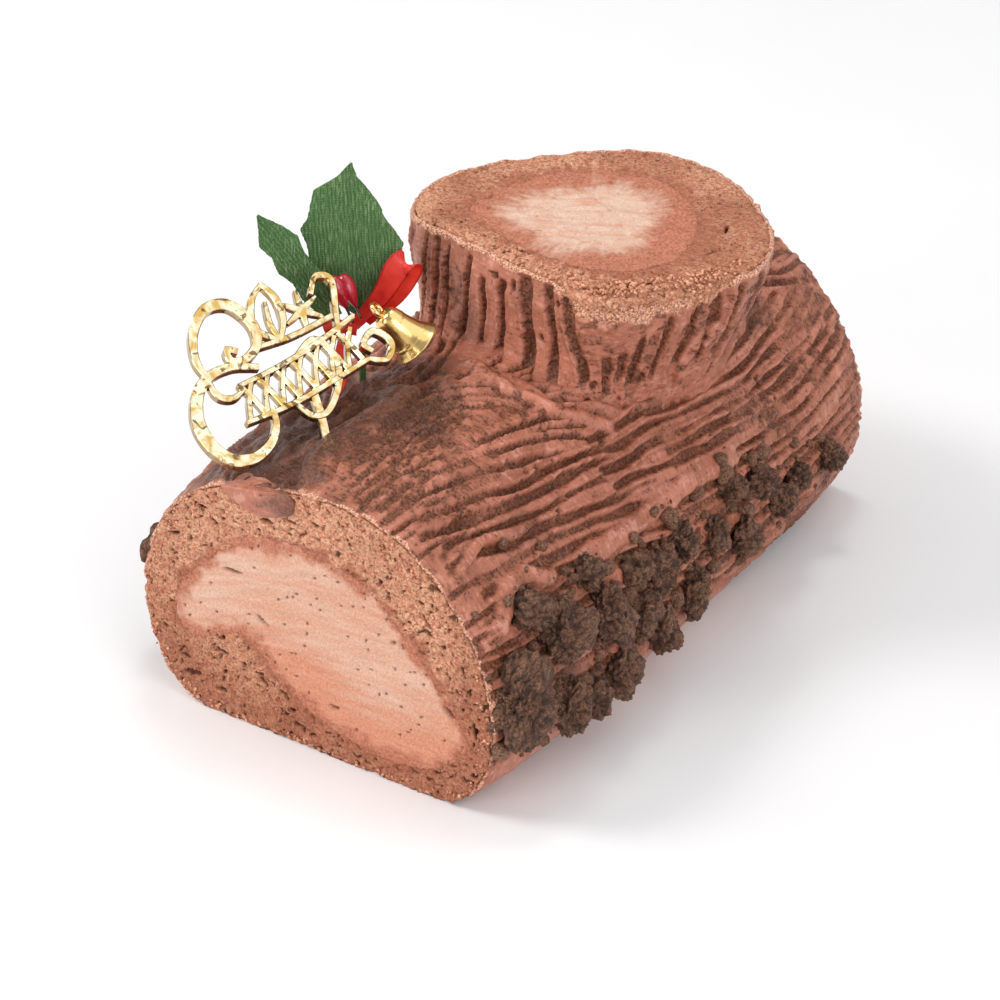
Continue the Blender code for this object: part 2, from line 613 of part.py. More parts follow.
def build_ornament():
    length = KNOT.z - 1.2 - WIRE_FOOT.z
    wire = [(0.0, length), (WIRE_RADIUS, length), (WIRE_RADIUS, 0.0), (0.0, 0.0)]
    turned("ornament_wire", wire, WIRE_FOOT, (0, 0, 1), "wire", 8)
    radius = WIRE_RADIUS + GAP
    turns = [(radius * math.cos(a * math.pi / 4), radius * math.sin(a * math.pi / 4)) for a in range(8)]
    rings = [[(WIRE_FOOT.x + x, WIRE_FOOT.y + y, z) for x, y in turns] for z in (WIRE_FOOT.z - 1, KNOT.z)]
    hole = make_cutter(add_mesh("wire_hole", *loft(rings), collection=cutters))
    sideways = (0.83, 0.55, 0.0)
    build_leaf("holly_leaf_1", (-26.4, -19.5, 68.0), (-27.7, -20.5, 103.4), sideways, BROAD_LEAF, 1.5)
    build_leaf("holly_leaf_2", (-27.6, -26.6, 70.6), (-40.6, -35.4, 94.0), (0.50, 0.62, 0.60), NARROW_LEAF, 1.0)
    build_berry("berry_1", (-25.8, -30.7, 82.3), (-21.6, -29.4, 72.2))
    build_berry("berry_2", (-26.2, -26.8, 81.0), (-21.2, -27.2, 72.4))
    build_ribbon("ribbon_loop", [(-24.5, -25.4, 68.8), (-20.2, -21.4, 75.3), (-17.4, -19.6, 81.6),
                                 (-16.2, -18.4, 82.8), (-15.8, -17.5, 80.6), (-18.6, -18.8, 74.4),
                                 (-23.6, -22.2, 68.5)], (0.72, 0.40, -0.55), (2.4, 5.8, 2.4), 15)
    build_ribbon("ribbon_tail", [(-21.2, -33.4, 70.4), (-20.2, -35.8, 66.4), (-17.4, -40.6, 64.2),
                                 (-15.6, -44.2, 63.2)], (0.83, 0.55, 0.0), (2.2, 4.0, 1.2), 8)
    build_ribbon("ribbon_band", [(-26.4, -33.4, 71.6), (-23.2, -32.6, 72.2), (-19.4, -31.2, 71.6)],
                 (0.1, -0.1, 0.98), (3.0, 3.6, 2.4), 5)
    build_bell()
    return hole


clear_scene()
cake = make_collection("yule_log_cake")
cutters = make_collection("cutters")
log_sponge = build_log()
build_branch()
icing_coat = build_icing()
build_chunks()
for stake_hole in (build_gold_pick(), build_ornament()):
    boolean(icing_coat, stake_hole, "DIFFERENCE")
    boolean(log_sponge, stake_hole, "DIFFERENCE")
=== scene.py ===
"""A yule log cake: its looks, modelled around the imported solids.

Lengths are in millimetres, except on the stage, where they are in metres.
"""
import math

import bmesh
import bpy
import numpy as np
from mathutils import Matrix, Vector


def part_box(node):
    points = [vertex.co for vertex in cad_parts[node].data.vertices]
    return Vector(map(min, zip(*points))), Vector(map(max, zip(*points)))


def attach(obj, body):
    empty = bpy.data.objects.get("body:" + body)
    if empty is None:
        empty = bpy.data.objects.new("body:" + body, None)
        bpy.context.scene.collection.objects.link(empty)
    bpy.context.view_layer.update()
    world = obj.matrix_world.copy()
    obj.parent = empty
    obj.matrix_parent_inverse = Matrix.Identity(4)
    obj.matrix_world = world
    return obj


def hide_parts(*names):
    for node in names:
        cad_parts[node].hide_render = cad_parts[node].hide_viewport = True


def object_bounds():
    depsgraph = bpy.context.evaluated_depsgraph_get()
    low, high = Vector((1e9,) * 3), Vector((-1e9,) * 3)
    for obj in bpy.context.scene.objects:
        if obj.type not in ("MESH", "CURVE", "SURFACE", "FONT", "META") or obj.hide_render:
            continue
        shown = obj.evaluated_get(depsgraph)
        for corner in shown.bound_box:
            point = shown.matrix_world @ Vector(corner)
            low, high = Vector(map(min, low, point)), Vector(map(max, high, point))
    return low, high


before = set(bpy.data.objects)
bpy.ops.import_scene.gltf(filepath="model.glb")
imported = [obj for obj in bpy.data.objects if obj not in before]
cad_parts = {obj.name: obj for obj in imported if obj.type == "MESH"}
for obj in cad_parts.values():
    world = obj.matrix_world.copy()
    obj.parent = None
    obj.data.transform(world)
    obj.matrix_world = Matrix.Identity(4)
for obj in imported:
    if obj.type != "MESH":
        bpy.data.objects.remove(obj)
cad_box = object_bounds()

MM = 0.001
LOG_LENGTH = 150.0
LOG_END = LOG_LENGTH / 2
BRANCH_TOP = 85.0
BRANCH_AXIS = (9.5, 18.0)
BRANCH_TAPER_RIGHT = 0.0120
BRANCH_TAPER_LEFT = 0.0060
BRANCH_TAPER_DEEP = 0.0015

COAT_EDGE = 0.9
COAT_FULL = 3.6
COAT_EASE = 13.0
COAT_SETBACK = 0.6
BURIED = 0.1  # how far hidden walls lie behind the smooth outlines
BRANCH_COAT = 1.2
BRANCH_COAT_FULL = 2.6
FLARE = 4.0
FLARE_HEIGHT = 4.5

# Corners of the smooth outlines: (x, z) of the log's section, (x, y) of the branch's top
LOG_SECTION = [
    (30.5, 0.2), (37.8, 5.2), (42.1, 15.5), (41.4, 30.0), (34.8, 44.3), (22.6, 56.4), (7.0, 60.5),
    (-9.5, 58.5), (-24.0, 54.5), (-35.2, 45.2), (-41.6, 31.0), (-41.9, 16.5), (-37.0, 5.6),
    (-28.5, 0.2), (-14.0, -0.5), (0.0, -0.5), (14.0, -0.5),
]
LOG_FILLING = [
    (37.0, 18.0), (34.0, 22.4), (26.0, 32.7), (16.0, 42.7), (1.0, 47.3), (-10.8, 46.6),
    (-22.6, 41.3), (-31.5, 30.0), (-34.0, 23.5), (-31.5, 17.6), (-23.5, 20.8), (-16.2, 22.1),
    (-7.4, 14.1), (2.2, 8.7), (16.5, 5.5), (28.6, 7.9), (35.0, 13.0),
]
BRANCH_SECTION = [
    (46.0, 16.0), (42.6, 29.0), (33.0, 40.0), (19.0, 48.6), (3.6, 50.4), (-7.7, 44.0),
    (-18.5, 33.4), (-26.4, 22.0), (-29.0, 9.5), (-24.5, -2.0), (-11.0, -4.9), (3.2, -8.2),
    (20.0, -11.0), (28.3, -9.0), (38.4, 2.4),
]
BRANCH_FILLING = [
    (30.5, 13.5), (26.5, 25.5), (17.5, 34.8), (6.0, 38.0), (-4.5, 34.0), (-12.5, 24.8),
    (-16.6, 14.0), (-14.0, 4.2), (-3.0, 0.0), (12.0, -2.8), (23.2, -0.4), (29.0, 6.0),
]


# ---------------------------------------------------------------- numbers and noise

def smoothstep(low, high, value):
    share = np.clip((value - low) / (high - low), 0.0, 1.0)
    return share * share * (3 - 2 * share)


def bump(distance, width):
    """A soft hill: 1 at no distance, falling off over the width."""
    return np.exp(-(distance / width) ** 2)


def blend(old, new, share):
    return old * (1 - share) + new * share


def points_of(*columns):
    """Points from their coordinates, each a number or an array, stretched to one shape."""
    return np.stack(np.broadcast_arrays(*columns), -1)


def raised(flat, height):
    """Flat places lifted to a height."""
    return points_of(flat[..., 0], flat[..., 1], height)


def ellipse_reach(place, spot, length, width, turn):
    """Distance of places from the middle of a turned ellipse, 1 on its edge."""
    off = place - np.array(spot)
    along = off[..., 0] * math.cos(turn) + off[..., 1] * math.sin(turn)
    across = -off[..., 0] * math.sin(turn) + off[..., 1] * math.cos(turn)
    return np.sqrt((along / length) ** 2 + (across / width) ** 2)


def hashed(cell, seed):
    """Repeatable scattered values from 0 to 1 for whole-numbered cells."""
    value = np.full(cell.shape[:-1], seed * 7919 + 17, dtype=np.uint64)
    for axis in range(cell.shape[-1]):
        value = (value ^ cell[..., axis].astype(np.int64).view(np.uint64)) * np.uint64(0x9E3779B97F4A7C15)
        value ^= value >> np.uint64(29)
    value *= np.uint64(0xBF58476D1CE4E5B9)
    value ^= value >> np.uint64(32)
    return (value & np.uint64(0xFFFFFF)).astype(np.float64) / 0xFFFFFF


def steps_of_cell(steps, dimensions):
    """Every combination of some steps, one for each dimension."""
    return np.stack(np.meshgrid(*[steps] * dimensions, indexing="ij"), -1).reshape(-1, dimensions)


def value_noise(place, seed):
    base = np.floor(place)
    share = place - base
    share = share * share * (3 - 2 * share)
    total = np.zeros(place.shape[:-1])
    for corner in steps_of_cell([0, 1], place.shape[-1]):
        weight = np.prod(np.where(corner, share, 1 - share), axis=-1)
        total += weight * hashed(base + corner, seed)
    return 2 * total - 1


def noise(place, size, seed=0, octaves=1):
    """Smooth noise from about -1 to 1, with features of the given size."""
    place = np.asarray(place) / size
    total, gain = 0.0, 1.0
    for octave in range(octaves):
        turned = place.copy()
        turned[..., 0] = 0.8 * place[..., 0] - 0.6 * place[..., 1]
        turned[..., 1] = 0.6 * place[..., 0] + 0.8 * place[..., 1]
        total = total + gain * (value_noise(place, seed + 31 * octave)
                                + value_noise(turned + 5.3, seed + 31 * octave + 7)) * 0.75
        place, gain = place * 2.03 + 11.7, gain * 0.5
    return total


def nearest_cell(place, size, seed=0):
    """Distance, in cells, to the nearest of points scattered one to a cell, and that cell's random value."""
    place = np.asarray(place) / size
    base = np.floor(place)
    dimensions = place.shape[-1]
    best = np.full(place.shape[:-1], 9.0)
    owner = np.zeros(place.shape[:-1])
    for offset in steps_of_cell([-1, 0, 1], dimensions):
        cell = base + offset
        distance = np.zeros(best.shape)
        for axis in range(dimensions):
            distance += (cell[..., axis] + hashed(cell, seed + axis) - place[..., axis]) ** 2
        closer = distance < best
        best = np.where(closer, distance, best)
        owner = np.where(closer, hashed(cell, seed + 5), owner)
    return np.sqrt(best), owner


def sprinkle(seed):
    return np.random.default_rng(seed)


# ---------------------------------------------------------------- outlines and meshes

def catmull_rom(knots, steps, closed):
    knots = np.array(knots, float)
    if closed:
        knots = np.vstack([knots[-1], knots, knots[0], knots[1]])
    else:
        knots = np.vstack([2 * knots[0] - knots[1], knots, 2 * knots[-1] - knots[-2]])
    t = np.arange(steps)[:, None] / steps
    fine = [0.5 * (2 * b + (c - a) * t + (2 * a - 5 * b + 4 * c - d) * t**2 + (3 * b - a - 3 * c + d) * t**3)
            for a, b, c, d in zip(knots, knots[1:], knots[2:], knots[3:])]
    fine.append(fine[0][:1] if closed else knots[-2:-1])
    return np.vstack(fine)


class Line:
    """A smooth line through knots, read by the distance along it."""

    def __init__(self, knots, closed):
        self.closed = closed
        self.points = catmull_rom(knots, 60, closed)
        steps = np.linalg.norm(np.diff(self.points, axis=0), axis=1)
        self.distances = np.concatenate([[0.0], np.cumsum(steps)])
        self.length = self.distances[-1]

    def at(self, distance):
        distance = np.mod(distance, self.length) if self.closed else np.clip(distance, 0, self.length)
        columns = [np.interp(distance, self.distances, column) for column in self.points.T]
        return np.stack(columns, -1)

    def evenly(self, count):
        return self.at(np.linspace(0, self.length, count, endpoint=not self.closed))

    def tangents(self, distance, reach=0.8):
        ahead = self.at(distance + reach) - self.at(distance - reach)
        return ahead / np.linalg.norm(ahead, axis=-1, keepdims=True)

    def normals(self, distance, reach=0.8):
        """Outward normals of a closed anticlockwise outline."""
        along = self.tangents(distance, reach)
        return points_of(along[..., 1], -along[..., 0])


def grid_faces(rows, columns, wrap_rows=False, wrap_columns=False):
    """Four-sided faces of a grid of points stored row by row."""
    row, column = np.meshgrid(np.arange(rows if wrap_rows else rows - 1),
                              np.arange(columns if wrap_columns else columns - 1), indexing="ij")
    next_row, next_column = (row + 1) % rows, (column + 1) % columns
    quads = [row * columns + column, row * columns + next_column,
             next_row * columns + next_column, next_row * columns + column]
    return np.stack(quads, -1).reshape(-1, 4)


def tube_faces(rows, around):
    """Faces of a tube of rings stored one after another, with a face over each end."""
    faces = grid_faces(rows, around, wrap_columns=True).tolist()
    return faces + [list(range(around))[::-1], list(range((rows - 1) * around, rows * around))]


def ring_faces(rings):
    """Faces of a band of rings whose last one meets the first."""
    return grid_faces(*rings.shape[:2], wrap_rows=True, wrap_columns=True).tolist()


def turn_to(axis):
    """The rotation that points Z along an axis."""
    return np.array(Vector(axis).to_track_quat("Z", "Y").to_matrix())


def make_piece(name, points, faces, material, nodes=(), marks=None, sharp=None):
    """A mesh piece of the cake, with marks that its material reads: (red, green, blue) for each point."""
    mesh = bpy.data.meshes.new(name)
    mesh.from_pydata((np.asarray(points, float).reshape(-1, 3) * MM).tolist(), [], faces)
    mesh.validate()
    shape = bmesh.new()
    shape.from_mesh(mesh)
    bmesh.ops.recalc_face_normals(shape, faces=shape.faces)
    shape.to_mesh(mesh)
    shape.free()
    if marks is not None:
        layer = mesh.attributes.new("marks", "FLOAT_COLOR", "POINT")
        full = np.ones((len(mesh.vertices), 4))
        full[:, :3] = np.clip(marks.reshape(-1, 3), 0, 1)
        layer.data.foreach_set("color", full.ravel())
    mesh.shade_smooth()
    if sharp is not None:
        mesh.set_sharp_from_angle(angle=math.radians(sharp))
    piece = bpy.data.objects.new(name, mesh)
    bpy.context.scene.collection.objects.link(piece)
    mesh.materials.append(material)
    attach(piece, "root")
    if nodes:
        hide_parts(*nodes)


def joined(parts):
    """One list of points and faces from several."""
    points, faces, start = [], [], 0
    for some_points, some_faces in parts:
        points.append(np.asarray(some_points, float))
        faces.extend([[i + start for i in face] for face in some_faces])
        start += len(some_points)
    return np.vstack(points), faces


def icosphere(level):
    shape = bmesh.new()
    bmesh.ops.create_icosphere(shape, subdivisions=level, radius=1.0)
    points = np.array([vert.co[:] for vert in shape.verts])
    faces = [[vert.index for vert in face.verts] for face in shape.faces]
    shape.free()
    return points, faces


# ---------------------------------------------------------------- materials

MIX_COLOURS = (6, 7)  # the Mix node's colour inputs
MIX_RESULT = 2  # and its colour output


class Shader:
    """A material's node tree, built link by link."""

    def __init__(self, name, **sockets):
        self.material = bpy.data.materials.new(name)
        self.material.use_nodes = True
        self.tree = self.material.node_tree
        self.main = self.tree.nodes["Principled BSDF"]
        self.set(**sockets)
        self.place = self.tree.nodes.new("ShaderNodeTexCoord").outputs["Object"]

    def node(self, kind, **inputs):
        return self.fill(self.tree.nodes.new("ShaderNode" + kind), inputs)

    def fill(self, node, inputs):
        """Feeds a node's inputs, whose names have _ for a space."""
        for key, value in inputs.items():
            self.feed(node.inputs[key.replace("_", " ")], value)
        return node

    def feed(self, socket, value):
        if isinstance(value, bpy.types.NodeSocket):
            self.tree.links.new(value, socket)
        else:
            socket.default_value = value

    def mark(self, channel):
        """One channel of the piece's marks."""
        attribute = self.node("Attribute")
        attribute.attribute_name = "marks"
        split = self.node("SeparateColor", Color=attribute.outputs["Color"])
        return split.outputs[channel]

    def noise(self, size, detail=2.0, roughness=0.5, stretch=None, distortion=0.0):
        """Noise from 0 to 1 whose features have a size in millimetres."""
        place = self.place
        if stretch:
            place = self.node("Mapping", Vector=self.place, Scale=stretch).outputs["Vector"]
        made = self.node("TexNoise", Vector=place, Scale=1 / (size * MM), Detail=detail, Roughness=roughness,
                         Distortion=distortion)
        return made.outputs["Fac"]

    def math(self, operation, first, second=0.0):
        made = self.node("Math")
        made.operation = operation
        self.feed(made.inputs[0], first)
        self.feed(made.inputs[1], second)
        return made.outputs[0]

    def stray(self, value, source, share):
        """A value pushed up or down by a noise around a half."""
        return self.math("ADD", value, self.math("MULTIPLY", self.math("SUBTRACT", source, 0.5), share))

    def remap(self, value, low, high, to_low=0.0, to_high=1.0):
        made = self.node("MapRange", Value=value, From_Min=low, From_Max=high, To_Min=to_low, To_Max=to_high)
        return made.outputs["Result"]

    def mix(self, share, first, second):
        """A blend of two colours, each a socket or (red, green, blue) as the eye sees it."""
        made = self.node("Mix", Factor=share)
        made.data_type = "RGBA"
        for index, tone in zip(MIX_COLOURS, (first, second)):
            self.feed(made.inputs[index], linear(*tone) if isinstance(tone, tuple) else tone)
        return made.outputs[MIX_RESULT]

    def bump(self, height, distance, strength, normal=None):
        """A bump whose full height has a size in millimetres."""
        made = self.node("Bump", Height=height, Strength=strength, Distance=distance * MM)
        if normal:
            self.feed(made.inputs["Normal"], normal)
        return made.outputs["Normal"]

    def set(self, **sockets):
        self.fill(self.main, sockets)
        return self.material


def linear(red, green, blue):
    """A colour given as the eye sees it, from 0 to 1, as linear values."""
    values = [c / 12.92 if c <= 0.04045 else ((c + 0.055) / 1.055) ** 2.4 for c in (red, green, blue)]
    return (*values, 1.0)


def icing_material(name, across_strokes):
    """Buttercream: red mark is 1 on crests and 0 on torn floors, and paints shade on the floors and a
    highlight on the crests; green wet places, blue stuck crumb.
    """
    s = Shader(name, Specular_IOR_Level=0.45)
    crest, wet, crumbly = s.mark("Red"), s.mark("Green"), s.mark("Blue")
    patches = s.noise(8.0, 4.0)
    grain = s.noise(0.6, 3.0, 0.65)
    teeth = s.noise(0.85, 2.0, 0.55, stretch=across_strokes)
    mottle = s.noise(2.6, 3.0, 0.6)
    # The floor tone is painted shade in the grooves and torn places.
    floor = s.mix(s.remap(grain, 0.34, 0.66), (0.24, 0.11, 0.06), (0.61, 0.365, 0.245))
    top = s.mix(s.remap(patches, 0.3, 0.7), (0.615, 0.36, 0.26), (0.755, 0.47, 0.375))
    edge = crest
    for source, share in ((grain, 0.9), (teeth, 1.6), (mottle, 1.5)):
        edge = s.stray(edge, source, share)
    shade = s.mix(s.remap(edge, 0.12, 0.72), floor, top)
    # A painted highlight along the highest crests and lips.
    shade = s.mix(s.remap(edge, 0.95, 1.25, 0.0, 0.5), shade, (0.84, 0.61, 0.54))
    damp = s.mix(s.remap(grain, 0.36, 0.68), (0.17, 0.08, 0.04), (0.47, 0.265, 0.17))
    shade = s.mix(wet, shade, damp)
    # Small air holes painted as dark spots: painted shade in them.
    hole_shade = s.remap(s.noise(0.9, 1.0), 0.68, 0.75)
    shade = s.mix(s.math("MULTIPLY", hole_shade, 0.7), shade, (0.22, 0.11, 0.07))
    crumb = s.mix(s.remap(s.noise(0.42, 2.0), 0.34, 0.66), (0.50, 0.28, 0.19), (0.97, 0.73, 0.60))
    shade = s.mix(s.remap(s.stray(crumbly, grain, 0.9), 0.35, 0.62), shade, crumb)
    torn = s.math("SUBTRACT", 1.0, crest)
    fine = s.bump(s.noise(0.5, 3.0, 0.65), 0.5, s.remap(torn, 0.0, 1.0, 0.25, 1.0))
    ripple = s.bump(teeth, 0.45, s.remap(torn, 0.1, 0.7, 0.08, 0.9), fine)
    rough = s.remap(s.noise(3.0, 2.0), 0.3, 0.7, 0.30, 0.46)
    rough = s.math("ADD", rough, s.math("MULTIPLY", torn, 0.10))
    return s.set(Base_Color=shade, Roughness=s.math("SUBTRACT", rough, s.math("MULTIPLY", wet, 0.10)),
                 Normal=ripple)


def smeared_cream(s):
    """The tone where cream and crumb run into each other."""
    return s.mix(s.remap(s.noise(0.6, 3.0), 0.3, 0.7), (0.60, 0.35, 0.26), (0.80, 0.52, 0.41))


def sponge_material():
    """Open crumb: red mark is the depth of the pores and tears, painted dark as shade in them; green is the
    share of smeared cream; blue the tone, which on the log's cut faces falls towards the bottom and the
    sides as painted shade.
    """
    s = Shader("sponge", Specular_IOR_Level=0.2, Roughness=0.85)
    pore, smear, tone = s.mark("Red"), s.mark("Green"), s.mark("Blue")
    grain = s.remap(s.noise(0.55, 4.0, 0.65), 0.36, 0.64)
    crumb = s.mix(grain, (0.82, 0.45, 0.33), (1.0, 0.84, 0.69))
    crumb = s.mix(tone, s.mix(0.62, crumb, (0.55, 0.255, 0.155)), crumb)
    drift = s.remap(s.noise(4.5, 3.0), 0.3, 0.7, 0.0, 0.30)
    crumb = s.mix(drift, crumb, (0.86, 0.57, 0.445))
    clumps = s.remap(s.noise(1.7, 3.0, 0.6), 0.36, 0.52, 0.40, 0.0)
    crumb = s.mix(clumps, crumb, (0.58, 0.32, 0.225))
    # Fine pores painted as dark spots: painted shade.
    gaps = s.remap(s.noise(0.70, 2.0), 0.33, 0.41)
    crumb = s.mix(gaps, s.mix(0.75, crumb, (0.42, 0.20, 0.13)), crumb)
    # Deep pores and tears darkened: painted shade in them.
    crumb = s.mix(s.remap(pore, 0.2, 0.85), crumb, (0.32, 0.16, 0.105))
    shade = s.mix(s.math("MULTIPLY", smear, 0.9), crumb, smeared_cream(s))
    normal = s.bump(s.noise(0.55, 4.0, 0.7), 0.7, 1.0)
    return s.set(Base_Color=shade, Normal=normal)


def cream_material():
    """Whipped cream: red mark is the depth of pits, painted dark as shade in them; green the darker edge;
    blue the tone, lower towards the bottom of the log's cut face as painted shade.
    """
    s = Shader("cream", Specular_IOR_Level=0.3, Roughness=0.62)
    pit, rim, tone = s.mark("Red"), s.mark("Green"), s.mark("Blue")
    grain = s.remap(s.noise(0.5, 3.0, 0.6), 0.25, 0.75)
    light = s.mix(grain, (0.79, 0.645, 0.56), (0.90, 0.78, 0.70))
    dark = s.mix(grain, (0.73, 0.465, 0.355), (0.87, 0.615, 0.495))
    shade = s.mix(tone, dark, light)
    shade = s.mix(rim, shade, smeared_cream(s))
    # Painted shade in pits and splits.
    shade = s.mix(s.remap(pit, 0.2, 0.9), shade, (0.42, 0.22, 0.16))
    return s.set(Base_Color=shade, Normal=s.bump(s.noise(0.5, 3.0, 0.6), 0.28, 0.8))


def cookie_material():
    """Dark cocoa crumb: red mark is the depth of the hollows between the grains, painted dark as shade in
    them.
    """
    s = Shader("cookie", Specular_IOR_Level=0.45, Roughness=0.62)
    grain = s.remap(s.noise(0.45, 4.0, 0.7), 0.34, 0.66)
    shade = s.mix(grain, (0.19, 0.10, 0.055), (0.70, 0.50, 0.385))
    flecks = s.remap(s.noise(0.5, 1.0), 0.64, 0.70)
    shade = s.mix(flecks, shade, (0.72, 0.49, 0.37))
    # Painted shade in the hollows between the grains.
    shade = s.mix(s.math("MULTIPLY", s.mark("Red"), 0.85), shade, (0.12, 0.065, 0.04))
    shade = s.mix(s.remap(s.noise(5.0, 2.0), 0.35, 0.65, 0.0, 0.35), shade, (0.40, 0.265, 0.20))
    return s.set(Base_Color=shade, Normal=s.bump(s.noise(0.45, 4.0, 0.7), 0.8, 1.0))


def crumb_material():
    s = Shader("sponge_crumb", Specular_IOR_Level=0.2, Roughness=0.9)
    shade = s.mix(s.remap(s.noise(1.1, 2.0), 0.3, 0.7), (0.62, 0.37, 0.27), (0.95, 0.72, 0.59))
    return s.set(Base_Color=shade, Normal=s.bump(s.noise(0.4, 2.0), 0.3, 0.7))


def gold_material():
    """Mirror-like gold plastic: its tone wavers between pale and dark as painted reflections, and painted
    dark reflections darken the sides of the scrollwork's bands.
    """
    s = Shader("gold", Metallic=1.0)
    # Painted reflections: pale and dark patches of tone.
    wave = s.remap(s.noise(4.5, 2.0, distortion=1.8), 0.38, 0.62)
    shade = s.mix(wave, (0.84, 0.69, 0.40), (1.0, 0.965, 0.83))
    dark_reflection = s.remap(s.noise(2.6, 2.0, distortion=1.2), 0.60, 0.66, 0.0, 0.85)
    shade = s.mix(dark_reflection, shade, (0.42, 0.29, 0.12))
    # Painted dark reflections on the sides of the bands, by how they face.
    facing = s.node("VectorMath")
    facing.operation = "DOT_PRODUCT"
    s.feed(facing.inputs[0], s.node("NewGeometry").outputs["True Normal"])
    s.feed(facing.inputs[1], tuple(SIGN_NORMAL))
    sides = s.remap(facing.outputs["Value"], 0.35, 0.8, 0.7, 0.0)
    shade = s.mix(sides, shade, (0.50, 0.34, 0.13))
    rough = s.remap(s.noise(3.0, 3.0), 0.3, 0.7, 0.06, 0.16)
    return s.set(Base_Color=shade, Roughness=rough, Normal=s.bump(s.noise(2.5, 2.0), 0.22, 0.6))


def bell_material():
    s = Shader("bell", Metallic=1.0)
    shade = s.mix(s.noise(5.0, 2.0), (0.93, 0.76, 0.44), (0.98, 0.86, 0.60))
    rough = s.remap(s.noise(1.2, 3.0), 0.3, 0.7, 0.17, 0.27)
    return s.set(Base_Color=shade, Roughness=rough, Normal=s.bump(s.noise(1.2, 2.0), 0.03, 0.5))


def leaf_material():
    """Stiff woven cloth: red and green marks are the places across and along the leaf, in threads."""
    s = Shader("leaf", Specular_IOR_Level=0.25, Roughness=0.8, Sheen_Weight=0.25, Sheen_Roughness=0.4)
    loose = s.math("MULTIPLY", s.noise(1.6, 3.0), 9.0)
    threads = []
    for channel, pitch in (("Red", 52.0), ("Green", 74.0)):
        turn = s.math("ADD", s.math("MULTIPLY", s.mark(channel), pitch * 2 * math.pi), loose)
        threads.append(s.remap(s.math("SINE", turn), -1.0, 1.0))
    weave = s.math("MULTIPLY", s.math("ADD", threads[0], 0.8), s.math("ADD", threads[1], 1.4))
    shade = s.mix(s.remap(weave, 0.8, 4.0), (0.20, 0.34, 0.17), (0.40, 0.54, 0.33))
    # Light dashes along the threads: painted sheen.
    thread_sheen = s.remap(s.noise(0.30, 2.0, stretch=(1.0, 1.0, 0.10)), 0.52, 0.70)
    shade = s.mix(s.math("MULTIPLY", thread_sheen, 0.75), shade, (0.58, 0.68, 0.50))
    flecks = s.remap(s.noise(0.5, 2.0), 0.60, 0.72)
    shade = s.mix(s.math("MULTIPLY", flecks, 0.5), shade, (0.14, 0.27, 0.12))
    shade = s.mix(s.remap(s.noise(6.0, 2.0), 0.3, 0.7, 0.0, 0.35), shade, (0.21, 0.38, 0.20))
    return s.set(Base_Color=shade, Normal=s.bump(weave, 0.08, 0.8))


def wire_material():
    s = Shader("wire", Specular_IOR_Level=0.3, Roughness=0.7)
    wrap = s.noise(0.8, 2.0, stretch=(0.3, 0.3, 2.5))
    return s.set(Base_Color=s.mix(wrap, (0.10, 0.22, 0.09), (0.30, 0.42, 0.22)),
                 Normal=s.bump(wrap, 0.12, 0.8))


def berry_material():
    s = Shader("berry", Roughness=0.22, Coat_Weight=0.6, Coat_Roughness=0.08)
    stem = s.mark("Red")
    body = s.mix(s.noise(2.2, 2.0), (0.55, 0.03, 0.10), (0.82, 0.11, 0.22))
    return s.set(Base_Color=s.mix(stem, body, (0.20, 0.10, 0.07)),
                 Normal=s.bump(s.noise(0.9, 2.0), 0.08, 0.5))


def ribbon_material():
    """Sheer ribbon: red mark is the place across it, green the place along it."""
    s = Shader("ribbon", Specular_IOR_Level=0.5, Roughness=0.34)
    loose = s.math("MULTIPLY", s.noise(1.2, 2.0), 8.0)
    across = s.math("SINE", s.math("ADD", s.math("MULTIPLY", s.mark("Red"), 130.0), loose))
    along = s.math("SINE", s.math("ADD", s.math("MULTIPLY", s.mark("Green"), 850.0), loose))
    weave = s.remap(s.math("ADD", across, along), -2.0, 2.0)
    border = s.remap(s.math("ABSOLUTE", s.math("SUBTRACT", s.mark("Red"), 0.5)), 0.40, 0.46)
    sheer = s.mix(weave, (0.80, 0.09, 0.08), (0.97, 0.30, 0.24))
    shade = s.mix(s.remap(s.noise(2.8, 2.0), 0.35, 0.65, 0.0, 0.7), sheer, (0.78, 0.08, 0.07))
    shade = s.mix(border, shade, (0.70, 0.04, 0.045))
    return s.set(Base_Color=shade, Normal=s.bump(weave, 0.03, 0.5), Subsurface_Weight=0.2,
                 Subsurface_Radius=(0.8, 0.1, 0.1), Subsurface_Scale=0.002)


def floor_material():
    s = Shader("floor", Roughness=0.6, Specular_IOR_Level=0.3)
    return s.set(Base_Color=s.mix(s.noise(60.0, 2.0), (0.93, 0.93, 0.935), (0.95, 0.95, 0.955)))


# ---------------------------------------------------------------- fork strokes

def beside(spots, p, overrun):
    """How far places lie to one side of a route's evenly spaced spots, and how far along it."""
    best = np.full(len(p), 1e9)
    side, run = np.zeros(len(p)), np.zeros(len(p))
    for index, (a, b) in enumerate(zip(spots, spots[1:])):
        span = b - a
        length = np.linalg.norm(span)
        share = ((p - a) @ span) / length**2
        low = -overrun if index == 0 else 0.0
        high = overrun if index == len(spots) - 2 else 1.0
        held = np.clip(share, low, high)
        off = p - a - held[:, None] * span
        distance = (off**2).sum(1)
        closer = distance < best
        best = np.where(closer, distance, best)
        side = np.where(closer, (off @ np.array([span[1], -span[0]])) / length, side)
        run = np.where(closer, (index + held) * length, run)
    return side, run


FORK_STEP = 2  # between the spots at which a fork's route is read
RIDGE_STEP = 1.5


